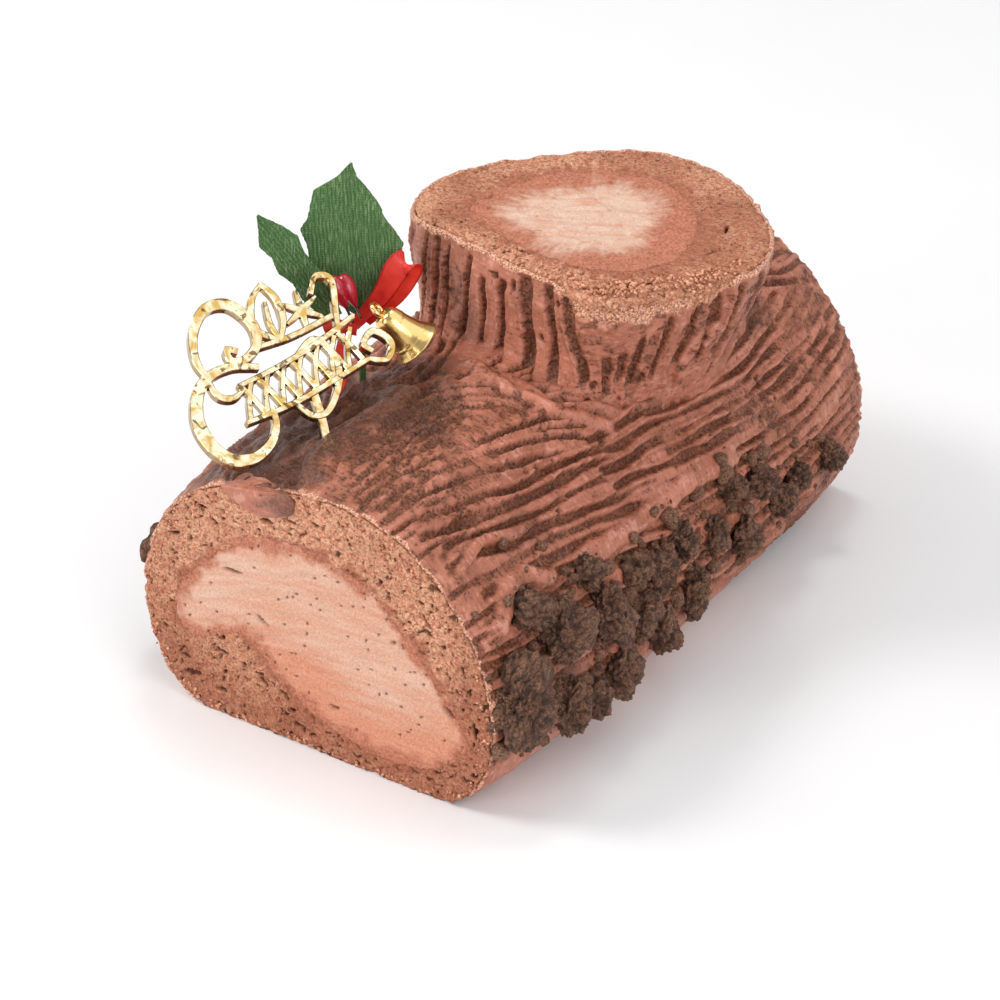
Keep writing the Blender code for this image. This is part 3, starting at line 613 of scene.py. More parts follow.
def drag_fork(place, height, polish_and_shade, route, tines, pitch, depth, width, lip, seed, period=None, stagger=7.0):
    """Drags a fork along a route over a height field, over whatever older strokes are there.

    place holds each point's two coordinates; height and polish are changed in place.
    """
    line = Line(route, closed=False)
    spots = line.evenly(max(int(line.length / FORK_STEP), 3))
    reach = tines * pitch / 2 + 2.5
    where = place
    if period:
        middle = spots[:, 0].mean()
        where = place.copy()
        where[..., 0] = (place[..., 0] - middle + period / 2) % period - period / 2 + middle
    near = np.all((where > spots.min(0) - reach) & (where < spots.max(0) + reach), axis=-1)
    if not near.any():
        return
    side, run = beside(spots, where[near], 9.0)
    total = (len(spots) - 1) * np.linalg.norm(spots[1] - spots[0])
    rng = sprinkle(seed)
    lean = 1 if rng.uniform() < 0.5 else -1  # the fork leans, and throws more of a lip up on one side
    made, shine, cover = np.zeros(len(side)), np.ones(len(side)), np.zeros(len(side))
    for tine in range(tines):
        own = seed + tine
        wander = points_of(run, tine * 9.0)
        middle = (tine - (tines - 1) / 2) * pitch + rng.uniform(-0.6, 0.6) + 0.8 * noise(wander, 10.0, own)
        chatter = 0.16 * noise(points_of(run, side * 0.3), 0.8, own + 20)
        half = width / 2 * rng.uniform(0.70, 1.30) * (1 + 0.45 * noise(wander, 6.0, own + 50)) + chatter
        off = np.abs(side - middle)
        start, stop = rng.uniform(0, stagger), total - rng.uniform(0, stagger)
        ends = smoothstep(start - 0.5, start + 2.5, run) * smoothstep(stop + 0.5, stop - 2.5, run)
        deep = rng.uniform(0.75, 1.20) * (1 + 0.50 * noise(wander, 8.0, own + 90))
        cut = 1 - smoothstep(half * 0.65, half + 0.42, off)
        edge = bump(off - half - 0.48, 0.27) * np.where((side - middle) * lean > 0, 1.15, 0.30)
        lines = noise(points_of(run * 0.07, side), 0.85, own + 70)
        lane = (1 - smoothstep(pitch / 2 - 0.1, pitch / 2 + 0.6, off)) * ends
        more = lane > cover
        dull = 1 - smoothstep(half * 0.8, half + 0.36, off)
        made = np.where(more, -depth * deep * cut + lip * edge + 0.13 * lines, made)
        # Shine is the polish mark: low on the groove floors, where it paints shade, and high on the lips,
        # where it paints a highlight.
        shine = np.where(more, 0.77 - 0.77 * dull + 0.26 * edge + 0.13 * lines, shine)
        cover = np.maximum(cover, lane)
    height[near] = blend(height[near], made, cover)
    polish_and_shade[near] = blend(polish_and_shade[near], shine, cover)


def push_up(place, height, polish_and_shade, route, rise, width, seed, shine):
    """A rounded ridge of icing pushed up along a route, with fine lines along its crest."""
    line = Line(route, closed=False)
    spots = line.evenly(max(int(line.length / RIDGE_STEP), 4))
    near = np.all((place > spots.min(0) - 2 * width) & (place < spots.max(0) + 2 * width), axis=-1)
    side, run = beside(spots, place[near], 1.0)
    side = side + 0.5 * noise(points_of(run, 0.0), 4.0, seed)
    ends = smoothstep(-0.5, 3.5, run) * smoothstep(line.length + 0.5, line.length - 3.5, run)
    cover = ends * (1 - smoothstep(0.85 * width, 1.15 * width, np.abs(side)))
    crest = np.sqrt(np.clip(1 - (side / (1.15 * width)) ** 2, 0, 1))
    lines = noise(points_of(run * 0.06, side), 0.75, seed + 1)
    height[near] = blend(height[near], rise * crest + 0.15 * lines, cover)
    # The ridge's crest gets more shine: a painted highlight along it.
    polish_and_shade[near] = blend(polish_and_shade[near], shine + 0.16 * crest + 0.14 * lines, cover)


def smear(place, height, polish_and_shade, spot, radii, turn, rise):
    """A smooth dab of icing that covers the strokes under it."""
    reach = ellipse_reach(place, spot, *radii, turn)
    reach = reach * (1 + 0.12 * noise(place, 6.0, int(spot[0] * 7 + spot[1]) % 997))
    cover = 1 - smoothstep(0.75, 1.05, reach)
    dome = np.sqrt(np.clip(1 - reach**2, 0, 1))
    height[...] = blend(height, rise * (0.4 + 0.6 * dome), cover)
    polish_and_shade[...] = blend(polish_and_shade, 1.0, cover)


def prick_holes(place, height, polish_and_shade, count, low, high, seed, sizes=(0.45, 0.95)):
    """Small air holes."""
    rng = sprinkle(seed)
    for _ in range(count):
        spot = rng.uniform(low, high)
        radius = rng.uniform(*sizes)
        near = np.all(np.abs(place - spot) < 3 * radius, axis=-1)
        off = np.linalg.norm((place[near] - spot) * (1.0, rng.uniform(0.55, 1.0)), axis=-1)
        pit = 1 - smoothstep(0.55 * radius, 1.15 * radius, off)
        height[near] -= pit * radius * 1.3
        # The holes lose their polish, so they take the floor's painted shade.
        polish_and_shade[near] *= 1 - pit


# ---------------------------------------------------------------- the log's icing

LOG_LINE = Line(LOG_SECTION, closed=True)
ARCH = 183.0  # distance along the section from its lower right edge, over the top, to its lower left edge
FOOT_MIDDLE = (88.0, 18.0)  # of the branch, in (distance round the section, place along the log)
FRESH_POLISH_AND_SHADE = 0.9  # of icing that no fork has touched


def log_rows():
    end = LOG_END - COAT_SETBACK
    return np.linspace(-end, end, 240)


def log_columns():
    """Places round the arch: close together on the top and right, wider apart on the far side."""
    low, high = 18.0, 128.0  # between them lies what is seen closest
    return np.concatenate([np.arange(0.0, low, 1.0), np.arange(low, high, 0.38), np.arange(high, ARCH, 0.6)])


def flow(spot):
    """Direction of the fork strokes on the log: along it, and round the foot of the branch."""
    p, q = spot[0] - FOOT_MIDDLE[0], spot[1] - FOOT_MIDDLE[1]
    square = max(p * p + q * q, 700.0)
    bend = 560.0
    across = -2 * bend * p * q / square**2 - 0.05
    along = 1 - bend * (q * q - p * p) / square**2
    if q > 30:
        across += 0.10 * (q - 30) / 25 * (1 if p > -46 else 0.2)
    return np.array([across, along]) / math.hypot(across, along)


def follow(start, length):
    """A route along the flow."""
    spots = [np.array(start, float)]
    for _ in range(int(length / 4)):
        spots.append(spots[-1] + 4 * flow(spots[-1]))
    return spots


def comb_log(place, height, polish_and_shade):
    rng = sprinkle(11)
    strokes = []
    for lane in np.arange(2.0, ARCH, 7.4):
        y = -84.0 + rng.uniform(-6, 6)
        across = lane + rng.uniform(-2, 2)
        while y < 76:
            length = rng.uniform(48, 105)
            order, tines, seed = rng.uniform(), int(rng.integers(3, 6)), int(rng.integers(1e6))
            spots = follow((across, y), length)
            strokes.append((order, spots, tines, seed))
            across = spots[-1][0] + rng.uniform(-3.0, 3.0)
            y = spots[-1][1] - rng.uniform(8, 20)
    strokes.sort(key=lambda stroke: stroke[0])
    for _, spots, tines, seed in strokes:
        own = sprinkle(seed)
        drag_fork(place, height, polish_and_shade, spots, tines, pitch=own.uniform(2.8, 4.3),
                  depth=own.uniform(0.9, 1.5), width=own.uniform(0.9, 1.7), lip=0.45, seed=seed,
                  stagger=16.0)
    # The strokes that stand out, laid last: before the branch's foot, and past it over the right shoulder
    for route, tines, pitch, depth, seed in (
        ([(94, -44), (88, -34), (80, -25), (69, -17)], 3, 3.6, 1.2, 21),
        ([(106, -70), (108, -52), (112, -30)], 4, 3.8, 1.3, 22),
        ([(79, -64), (75, -48), (70, -28), (62, -10)], 4, 3.5, 1.2, 23),
        ([(66, -72), (60, -44), (55, -14), (50, 22), (46, 40)], 4, 3.5, 1.3, 24),
        ([(58, -22), (54, 6), (51, 32), (52, 62)], 4, 3.4, 1.35, 25),
        ([(47, -4), (44, 20), (42, 44), (45, 72)], 4, 3.4, 1.3, 26),
        ([(64, -4), (60, 18), (60, 40), (64, 66)], 3, 3.5, 1.3, 27),
        ([(38, -10), (36, 12), (35, 30)], 3, 3.4, 1.0, 28),
        ([(72, 54), (68, 64), (66, 76)], 4, 3.6, 1.2, 29),
    ):
        drag_fork(place, height, polish_and_shade, route, tines, pitch, 1.1 * depth, width=1.3, lip=0.55, seed=seed,
                  stagger=5.0)


def dab_log(place, height, polish_and_shade):
    """The smooth places of the log's icing."""
    for dab in (
        ((82.0, -19.5), (9.0, 2.2), -0.15, 0.5),
        ((12.0, -60.0), (9.0, 16.0), 0.0, 0.2),
        ((8.0, -10.0), (8.0, 40.0), 0.0, 0.1),
    ):
        smear(place, height, polish_and_shade, *dab)
    around_chunk = [(43.5, -69.5), (46.0, -65.5), (51.0, -61.5), (50.5, -56.5), (47.5, -51.0), (44.5, -47.0)]
    at_the_foot = [(93.0, -16.5), (85.0, -20.5), (76.0, -21.0), (67.0, -17.0), (60.0, -10.0)]
    above_chunks = [(45.0, -40.0), (44.5, -28.0), (44.0, -14.0), (43.5, 4.0), (41.0, 20.0)]
    for ridge in (
        (at_the_foot, 1.0, 1.4, 706, 0.78),
        (above_chunks, 0.9, 2.1, 703, 0.80),
        (around_chunk, 1.9, 1.9, 701, 0.84),
        ([(58.0, -70.0), (60.0, -60.0), (57.0, -48.0)], 0.9, 1.1, 702, 0.84),
        ([(92.5, -72.0), (97.0, -58.0), (95.0, -44.0), (97.0, -30.0)], 1.5, 3.6, 704, 0.30),
        ([(89.0, -74.0), (88.0, -68.0), (91.0, -62.0)], 1.0, 1.3, 705, 0.45),
    ):
        push_up(place, height, polish_and_shade, *ridge)


def coat_thickness(y):
    depth = LOG_END - np.abs(y)
    return COAT_EDGE + (COAT_FULL - COAT_EDGE) * (1 - np.exp(-np.maximum(depth, 0) / COAT_EASE))


def branch_foot_line():
    """Where the branch's icing meets the log's, seen from above."""
    spots = BRANCH_LINE.evenly(160)
    away = spots - np.array(BRANCH_AXIS)
    share = 1 - np.where(away[:, :1] > 0, BRANCH_TAPER_RIGHT, BRANCH_TAPER_LEFT) * 25
    return np.array(BRANCH_AXIS) + away * np.hstack([share, np.full((len(spots), 1), 0.96)])


def build_log_icing(material):
    rows, columns = log_rows(), log_columns()
    arc, y = np.meshgrid(columns, rows, indexing="ij")  # a row of the grid runs along the log
    place = points_of(arc, y)
    height, polish_and_shade = np.zeros(arc.shape), np.full(arc.shape, FRESH_POLISH_AND_SHADE)
    comb_log(place, height, polish_and_shade)
    prick_holes(place, height, polish_and_shade, 70, (20, -70), (125, 72), seed=3)
    prick_holes(place, height, polish_and_shade, 40, (60, -72), (120, -20), seed=4, sizes=(0.5, 1.1))

    base = LOG_LINE.at(columns)[:, None, :]
    normal = LOG_LINE.normals(columns, reach=2.0)[:, None, :]
    spot = points_of(base[..., 0], y, base[..., 1])
    messy = bump(np.hypot(arc - 109, (y + 53) / 1.7), 21.0)
    wet = np.maximum(smoothstep(0.15, 0.75, noise(spot, 24.0, 5, 2) + 0.5 * messy - 0.25),
                     smoothstep(0.30, 0.62, messy + 0.2 * noise(spot, 5.0, 21, 2)))
    twisted = points_of(arc + 2.2 * noise(place, 7.0, 13), y * 0.5 + 2.2 * noise(place, 7.0, 14))
    folds = 1 - np.abs(noise(twisted, 4.2, 15, 2))
    swap = 0.85 * smoothstep(0.15, 0.7, messy)
    height = blend(height, 2.4 * (folds**2 - 0.62), swap)
    # Fold tops take the light tone and fold hollows the dark one: painted highlight and shade.
    polish_and_shade = blend(polish_and_shade, np.clip(1.6 * folds - 0.55, 0.15, 1.0), swap)
    worn = smoothstep(1.15, 0.65, np.hypot((arc - 83) / 15, (y + 50) / 26) + 0.20 * noise(spot, 9.0, 18, 2))
    height = height * (1 - 0.60 * worn) + worn * 0.32 * noise(spot, 1.2, 19, 3)
    polish_and_shade = np.clip(polish_and_shade - worn * 0.80 * smoothstep(-0.25, 0.45, noise(spot, 1.1, 20, 2)), 0, 1)
    closed = smoothstep(0.10, 0.50, noise(place * (1.0, 0.45), 7.0, 22, 2))
    height = height * (1 - 0.50 * closed) + 0.25 * closed * noise(spot, 1.5, 23, 2)
    polish_and_shade = polish_and_shade + 0.70 * closed * (0.50 - polish_and_shade)
    dab_log(place, height, polish_and_shade)
    in_front = bump(np.hypot(arc - 80, (y + 50) / 1.6), 16.0)
    rough = smoothstep(-0.2, 0.7, noise(spot, 15.0, 6, 2) + 0.7 * in_front)
    height += (1 - polish_and_shade) * 0.30 * noise(spot, 0.95, 7, 2)
    height += rough * polish_and_shade * 0.28 * noise(spot, 1.4, 8, 2)
    height += 0.16 * noise(spot, 3.2, 9, 2)
    polish_and_shade = np.clip(polish_and_shade - rough * 0.65 * smoothstep(0.0, 0.6, noise(spot, 1.6, 10, 2)), 0, 1)
    crumb_reach = (1.6 + 1.4 * noise(points_of(arc, np.sign(y)), 5.0, 16, 2)).clip(0.4, 9.0)
    crumbly = 1 - smoothstep(0.2, 1.0, (LOG_END - np.abs(y)) / crumb_reach)
    crumbly *= 1 - bump(arc - 102.5, 8.5) * (y < 0)
    height += crumbly * 0.30 * noise(spot, 0.7, 17, 2)

    thick = coat_thickness(y) * np.minimum(1.0, 0.35 + base[..., 1] / 9)  # thinner down by the plate
    thick = thick + height * np.minimum(1.0, thick / 2.6)
    foot = branch_foot_line()
    nearby = np.abs(arc - FOOT_MIDDLE[0]) < 52
    gap = np.full(arc.shape, 99.0)
    flat = spot[..., :2][nearby]
    gap[nearby] = np.min(np.linalg.norm(flat[:, None, :] - foot[None, ::2, :], axis=-1), axis=1)
    thick += 1.5 * np.exp(-np.maximum(gap - 2.5, 0) / 2.2)
    thick = np.maximum(thick, 0.35)
    bent_y = y + 0.5 * noise(spot, 2.6, 12, 2) * smoothstep(66, 74, np.abs(y))
    bent_y = np.clip(bent_y, -LOG_END + 0.15, LOG_END - 0.15)

    def at(depth, along):
        """Points a depth of icing above the sponge."""
        x = base[..., 0] + normal[..., 0] * depth
        z = np.maximum(base[..., 1] + normal[..., 1] * depth, 0.3)
        return points_of(x, along, z)

    outer = at(thick, bent_y)
    first, last = slice(0, 1), slice(-1, None)
    back_curl = at(thick[:, last] * 0.5, bent_y[:, last] + 0.12)
    front_curl = at(thick[:, first] * 0.5, bent_y[:, first] - 0.22)
    inner = at(-0.05, np.array([[LOG_END - 1.2, -LOG_END + 1.2]]))
    rings = np.concatenate([outer, back_curl, inner, front_curl], axis=1)
    marks = np.zeros(rings.shape) + (0.6, 0.0, 1.0)
    marks[:, :len(rows)] = points_of(polish_and_shade, wet * (1 - 0.25 * polish_and_shade), crumbly)
    make_piece("icing_log", rings, tube_faces(*rings.shape[:2]), material, ["icing"], marks)
    return outer


DROP_MIDDLE = 104.0  # along the section
DROP_HALF_LENGTH = 9.0
DROP_HALF_HEIGHT = 3.8


def build_icing_drop(material):
    """A smooth lobe of icing that has sagged over the top of the cut face."""
    ball, faces = icosphere(5)
    shape = ball * (1 + 0.13 * noise(ball * 1.6, 1.0, 711, 2))[:, None]
    shape[:, 2] += 0.40 * np.exp(-((shape[:, 0] - 0.75) / 0.30) ** 2) + 0.10 * shape[:, 0]
    arc = DROP_MIDDLE + DROP_HALF_LENGTH * shape[:, 0]
    edge, normal = LOG_LINE.at(arc), LOG_LINE.normals(arc, reach=2.0)
    out = np.sign(shape[:, 1]) * np.abs(shape[:, 1]) ** 0.6
    up = DROP_HALF_HEIGHT * shape[:, 2]
    over = np.maximum(up - 2.0, 0)
    rise = up - 0.75 * over - 1.4
    x, z = edge[:, 0] + normal[:, 0] * rise, edge[:, 1] + normal[:, 1] * rise
    y = np.maximum(-LOG_END - 0.05 + 0.98 * out + 1.8 * over, cad_box[0][1] / MM + 0.02)
    marks = np.zeros((len(ball), 3)) + (0.9, 0.0, 0.0)
    marks[:, 1] = 0.75 * smoothstep(0.1, -0.9, shape[:, 0] + 0.4 * noise(shape, 0.4, 712, 2))
    make_piece("icing_drop", points_of(x, y, z), faces, material, (), marks)


# ---------------------------------------------------------------- the branch's icing

BRANCH_LINE = Line(BRANCH_SECTION, closed=True)
# A polish floor that also lightens the branch's left wall: painted light from the left.
LIT_LEFT_WALL_POLISH = 0.45  # the least there


def narrowed(spots, height):
    """Where points of the branch's top outline lie at a height."""
    down = BRANCH_TOP - height
    across, deep = spots[..., 0] - BRANCH_AXIS[0], spots[..., 1] - BRANCH_AXIS[1]
    across = across * (1 - np.where(across > 0, BRANCH_TAPER_RIGHT, BRANCH_TAPER_LEFT) * down)
    deep = deep * (1 - BRANCH_TAPER_DEEP * down)
    return points_of(BRANCH_AXIS[0] + across, BRANCH_AXIS[1] + deep)


def coat_top(x):
    """Height of the log's smooth icing at a place across it."""
    along = np.linspace(44, 138, 400)
    crest = LOG_LINE.at(along) + LOG_LINE.normals(along) * COAT_FULL
    order = np.argsort(crest[:, 0])
    return np.interp(x, crest[order, 0], crest[order, 1])


def branch_feet(line, normals, reach):
    """Height at which the branch's wall meets the log, for each place round it."""
    height = np.full(len(line), BRANCH_TOP - 25)
    for _ in range(20):
        place = narrowed(line, height)[:, 0] + normals[:, 0] * reach
        height += 0.5 * (coat_top(place) - COAT_FULL * 0.6 - height)
    return height


def spill(s):
    """How far the crumbs of the cut spread over the icing, from 0 to 1, round the branch's top."""
    turned = (s - 60) % BRANCH_LINE.length + 60
    return smoothstep(168, 180, turned) * (1 - smoothstep(203, 211, turned))


def comb_branch(place, height, polish_and_shade, period):
    rng = sprinkle(31)
    for s in np.arange(6.0, 126.0, 6.0):
        lean = rng.uniform(-3, 3)
        route = [(s + lean, 85 + rng.uniform(-2, 2)), (s, 70), (s - lean, 52)]
        drag_fork(place, height, polish_and_shade, route, int(rng.integers(2, 4)), pitch=rng.uniform(3.2, 4.2),
                  depth=rng.uniform(0.8, 1.2), width=rng.uniform(1.1, 1.9), lip=0.35,
                  seed=int(rng.integers(1e6)), period=period)
    # The deep grooves on the side in view: (place round, height) at the top and at the foot, width, depth
    for index, (high, foot, width, depth) in enumerate((
        ((129.0, 84.0), (124.0, 56.0), 0.8, 0.7),
        ((133.5, 84.5), (127.5, 56.5), 0.9, 0.8),
        ((137.3, 84.0), (130.5, 56.5), 1.0, 0.9),
        ((140.8, 83.0), (135.0, 57.0), 1.0, 1.0),
        ((145.5, 83.0), (141.0, 57.5), 2.0, 1.6),
        ((150.4, 80.0), (148.6, 58.5), 1.5, 1.6),
        ((155.6, 81.0), (155.0, 60.0), 2.3, 1.8),
        ((161.0, 84.0), (167.0, 61.5), 2.8, 1.9),
        ((167.5, 84.0), (175.2, 62.0), 2.8, 1.9),
        ((172.8, 84.0), (181.0, 63.0), 2.4, 1.8),
        ((184.7, 71.0), (186.0, 60.5), 1.3, 1.0),
        ((187.6, 71.5), (188.2, 61.5), 1.2, 0.9),
        ((191.0, 75.0), (191.5, 61.0), 1.4, 1.0),
        ((196.5, 78.0), (195.5, 61.0), 1.5, 1.1),
        ((201.4, 82.0), (201.0, 64.0), 1.6, 1.2),
        ((206.5, 82.0), (207.5, 62.0), 1.8, 1.1),
        ((211.5, 83.0), (212.5, 60.0), 1.6, 1.2),
        ((217.0, 83.0), (217.5, 60.0), 1.7, 1.3),
    )):
        middle = ((high[0] + foot[0]) / 2 + 0.4, (high[1] + foot[1]) / 2)
        drag_fork(place, height, polish_and_shade, [high, middle, foot], 1, pitch=3.4 if width < 2 else 4.4,
                  depth=depth, width=width, lip=0.38, seed=400 + index, period=period, stagger=0.5)


def build_branch_icing(material):
    period = BRANCH_LINE.length
    near = np.arange(120.0, 232.0, 0.36)
    around = np.concatenate([near, np.arange(232.0, 120.0 + period, 0.6)])
    line, normals = BRANCH_LINE.at(around), BRANCH_LINE.normals(around, reach=2.0)
    feet = branch_feet(line, normals, BRANCH_COAT_FULL + FLARE) - 1.2
    spilt = spill(around)
    top = BRANCH_TOP - 0.5 - 2.2 * spilt + 0.35 * noise(points_of(around, 0.0), 3.0, 41, 2)
    shares = np.linspace(0, 1, 96)
    z = top[None, :] + (feet - top)[None, :] * shares[:, None]
    place = points_of(around, z)
    height, polish_and_shade = np.zeros(z.shape), np.full(z.shape, FRESH_POLISH_AND_SHADE)
    comb_branch(place, height, polish_and_shade, period)
    s = place[..., 0]
    # Painted light: the left wall of the branch is kept lighter, as if lit from the left.
    lit_left_wall = smoothstep(120, 124, s) * smoothstep(146, 138, s)
    polish_and_shade = np.maximum(polish_and_shade, LIT_LEFT_WALL_POLISH * lit_left_wall)
    for dab in (
        ((153.2, 82.6), (1.7, 1.6), 0.0, 1.0),
        ((143.2, 84.2), (1.6, 1.2), 0.0, 0.8),
        ((199.0, 60.5), (4.5, 2.8), 0.2, 0.9),
        ((208.5, 69.0), (1.6, 5.0), 0.1, 0.5),
    ):
        smear(place, height, polish_and_shade, *dab)
    drawn = points_of(s + 1.4 * noise(place, 8.0, 50), place[..., 1] * 0.22)
    pulled = smoothstep(181, 190, s) * smoothstep(222, 212, s)
    height += pulled * 0.75 * noise(drawn, 2.3, 51, 2)
    prick_holes(place, height, polish_and_shade, 26, (122, 58), (225, 82), seed=43)

    spot = raised(narrowed(line[None], z), z)
    rough = smoothstep(-0.1, 0.7, noise(spot, 13.0, 44, 2) + 0.8 * bump(np.abs(s - 192), 12.0))
    height += (1 - polish_and_shade) * 0.26 * noise(spot, 0.9, 45, 2)
    height += rough * polish_and_shade * 0.26 * noise(spot, 1.4, 46, 2) + 0.10 * noise(spot, 3.0, 47)
    polish_and_shade = np.clip(polish_and_shade - rough * 0.6 * smoothstep(0.0, 0.6, noise(spot, 1.5, 48, 2)), 0, 1)
    scuffed = smoothstep(11.0, 6.0, np.abs(s - 184) + 3.0 * noise(spot, 4.0, 55, 2))
    polish_and_shade = np.clip(polish_and_shade - 0.45 * scuffed * smoothstep(-0.3, 0.5, noise(spot, 1.2, 56, 2)), 0, 1)
    height += scuffed * 0.25 * noise(spot, 1.1, 57, 2)
    rise, fall = z - feet[None, :], top[None, :] - z
    crumbly = smoothstep(4.6, 0.6, fall / (0.25 + spilt[None]) + 0.9 * noise(spot, 2.2, 52, 2))
    crumbly = np.maximum(crumbly, 0.8 * smoothstep(1.5, 0.3, fall + 0.6 * noise(spot, 3.0, 53)))
    height += crumbly * 0.3 * noise(spot, 0.75, 54, 2)
    calm = smoothstep(0.5, 4.5, rise - 1.2) * smoothstep(-0.4, 0.8, fall)
    thick = (BRANCH_COAT + (BRANCH_COAT_FULL - BRANCH_COAT) * np.minimum(1, fall / 6)
             + FLARE * np.exp(-np.maximum(rise - 1.2, 0) / FLARE_HEIGHT) + height * (0.25 + 0.75 * calm))
    thick = np.maximum(thick, 0.3)

    def at(depth, heights):
        return raised(narrowed(line[None], heights) + normals[None] * depth[..., None], heights)

    outer = at(thick, z)
    lip = at(thick[:1] * 0.45, z[:1] + 0.25)
    inner = [at(np.full(level.shape, -BURIED), level) for level in (feet[None] + 0.6, z[:1] - 1.0)]
    rings = np.concatenate([lip, outer, *inner])
    wet = smoothstep(0.25, 0.8, noise(spot, 20.0, 49, 2))
    marks = np.zeros(rings.shape) + (0.7, 0.0, 0.8)
    marks[1:1 + len(z)] = points_of(polish_and_shade, wet * 0.4, crumbly)
    make_piece("icing_branch", rings, ring_faces(rings), material, (), marks)


# ---------------------------------------------------------------- sponge and cream

LOG_ROLL_MIDDLE = (2.0, 32.0)
BRANCH_ROLL_MIDDLE = (8.0, 17.0)
PLATE_GAP = 0.05

def crumb_relief(flat, seed):
    """Height of open crumb above its mean face and the depth of its pores from 0 to 1, at flat places."""
    bent = flat + 0.5 * points_of(noise(flat, 1.6, seed + 1), noise(flat, 1.6, seed + 2))
    gaps = noise(bent * (1.0, 1.35), 1.15, seed + 3, 2)
    large, kind = nearest_cell(bent, 4.2, seed)
    pores = smoothstep(0.62, 1.0, gaps)
    holes = (1 - smoothstep(0.05, 0.05 + 0.12 * kind, large)) * (kind > 0.5)
    relief = (0.25 * noise(flat, 7.0, seed + 4) + 0.20 * noise(flat, 1.7, seed + 5, 2)
              + 0.22 * noise(flat, 0.62, seed + 6, 2) - 0.55 * pores - 0.9 * holes)
    return relief, np.clip(pores * 0.75 + holes, 0, 1)


def tears(flat, spots):
    """Depth, from 0 to 1, of long torn openings: (place, half length, half width, turn)."""
    depth = np.zeros(flat.shape[:-1])
    for spot, length, width, turn in spots:
        reach = ellipse_reach(flat, spot, length, width, turn) * (1 + 0.25 * noise(flat, 1.2, 77))
        depth = np.maximum(depth, 1 - smoothstep(0.55, 1.0, reach))
    return depth


def laps(values, whole):
    """Values with those of the lap before and of the lap after."""
    return np.concatenate([values - whole, values, values + whole])


def rolled(filling, outline, count, middle, seed):
    """Rings round the ragged edge of the cream and round the sponge, point for point.

    Gives the inner ring, the outer one, its normals and the places of its points round the outline.
    """
    inner_at = np.linspace(0, filling.length, count, endpoint=False)
    inner = filling.at(inner_at)
    fine_at = np.linspace(0, outline.length, 2000, endpoint=False)
    fine = outline.at(fine_at) - np.array(middle)
    away = inner - np.array(middle)
    turn_fine = np.unwrap(np.arctan2(fine[:, 1], fine[:, 0]))
    turn_inner = np.maximum.accumulate(np.unwrap(np.arctan2(away[:, 1], away[:, 0])))
    matched = np.interp(turn_inner, laps(turn_fine, 2 * np.pi), laps(fine_at, outline.length))
    half = count // 12
    wide = np.concatenate([matched[-half:] - outline.length, matched, matched[:half] + outline.length])
    outer_at = np.convolve(wide, np.ones(2 * half + 1) / (2 * half + 1), mode="valid")
    stray = 0.9 * noise(inner, 5.0, seed, 2) + 0.35 * noise(inner, 1.6, seed + 1)
    inner = inner + filling.normals(inner_at) * stray[:, None]
    return inner, outline.at(outer_at), outline.normals(outer_at, reach=2.0), outer_at


def build_log_sponge(material):
    """The sponge of the log: fine crumb on both cut faces, plain walls along it."""
    count = 780
    filling = Line(LOG_FILLING, closed=True)
    inner, outer, outer_normal, _ = rolled(filling, LOG_LINE, count, LOG_ROLL_MIDDLE, 61)
    width = np.linalg.norm(outer - inner, axis=1)[None]
    parts, marks = [], []
    for side, steps in ((-1, 52), (1, 26)):
        shares = np.linspace(0, 1, steps)[:, None, None]
        flat = inner[None] + (outer - inner)[None] * shares
        relief, pores = crumb_relief(flat, 62 + side)
        torn = tears(flat, FRONT_TEARS) if side < 0 else 0 * pores
        relief = relief - 1.2 * torn
        edge = shares[..., 0] * width
        to_rim = width - edge
        relief = relief - 0.15 * np.exp(-to_rim / 0.6) - 0.2 * np.exp(-edge / 0.3)
        ragged = np.exp(-to_rim / 1.2) * (0.55 * noise(flat, 1.3, 63, 2) + 0.30)
        flat = flat + outer_normal[None] * ragged[..., None]
        flat[..., 1] = np.maximum(flat[..., 1], PLATE_GAP)
        y = side * (LOG_END - (0.5 if side > 0 else 0.0) + np.clip(relief, -1.6, 0.5))
        points = points_of(flat[..., 0], y, flat[..., 1])
        smeared = smoothstep(3.4, 0.4, edge + 1.8 * noise(flat, 3.2, 64, 3))
        # The tone falls towards the bottom and towards the left and right edges of the face: painted shade.
        tone = (1.0 + 0.30 * noise(flat, 14.0, 65) - 0.95 * smoothstep(30, 6, flat[..., 1])
                - 0.25 * smoothstep(-24, -38, flat[..., 0]) - 0.80 * smoothstep(29, 39, flat[..., 0]))
        colours = points_of(np.clip(pores + torn, 0, 1), smeared, tone)
        parts.append(points[::-side])
        marks.append(colours[::-side])
    wall = outer - outer_normal * BURIED
    wall_end, bore_end = LOG_END - 1.6, LOG_END - 2.2
    wall_z = np.maximum(wall[:, 1], PLATE_GAP)
    walls = [points_of(wall[:, 0], y, wall_z)[None] for y in (-wall_end, wall_end)]
    bore = [points_of(inner[:, 0], y, inner[:, 1])[None] for y in (bore_end, -bore_end)]
    rings = np.concatenate([parts[0], *walls, parts[1], *bore])
    plain = np.zeros((2, count, 3)) + (0.2, 0.0, 0.4)
    marks = np.concatenate([marks[0], plain, marks[1], plain])
    make_piece("log_sponge_crumb", rings, ring_faces(rings), material, ["log_sponge"], marks)


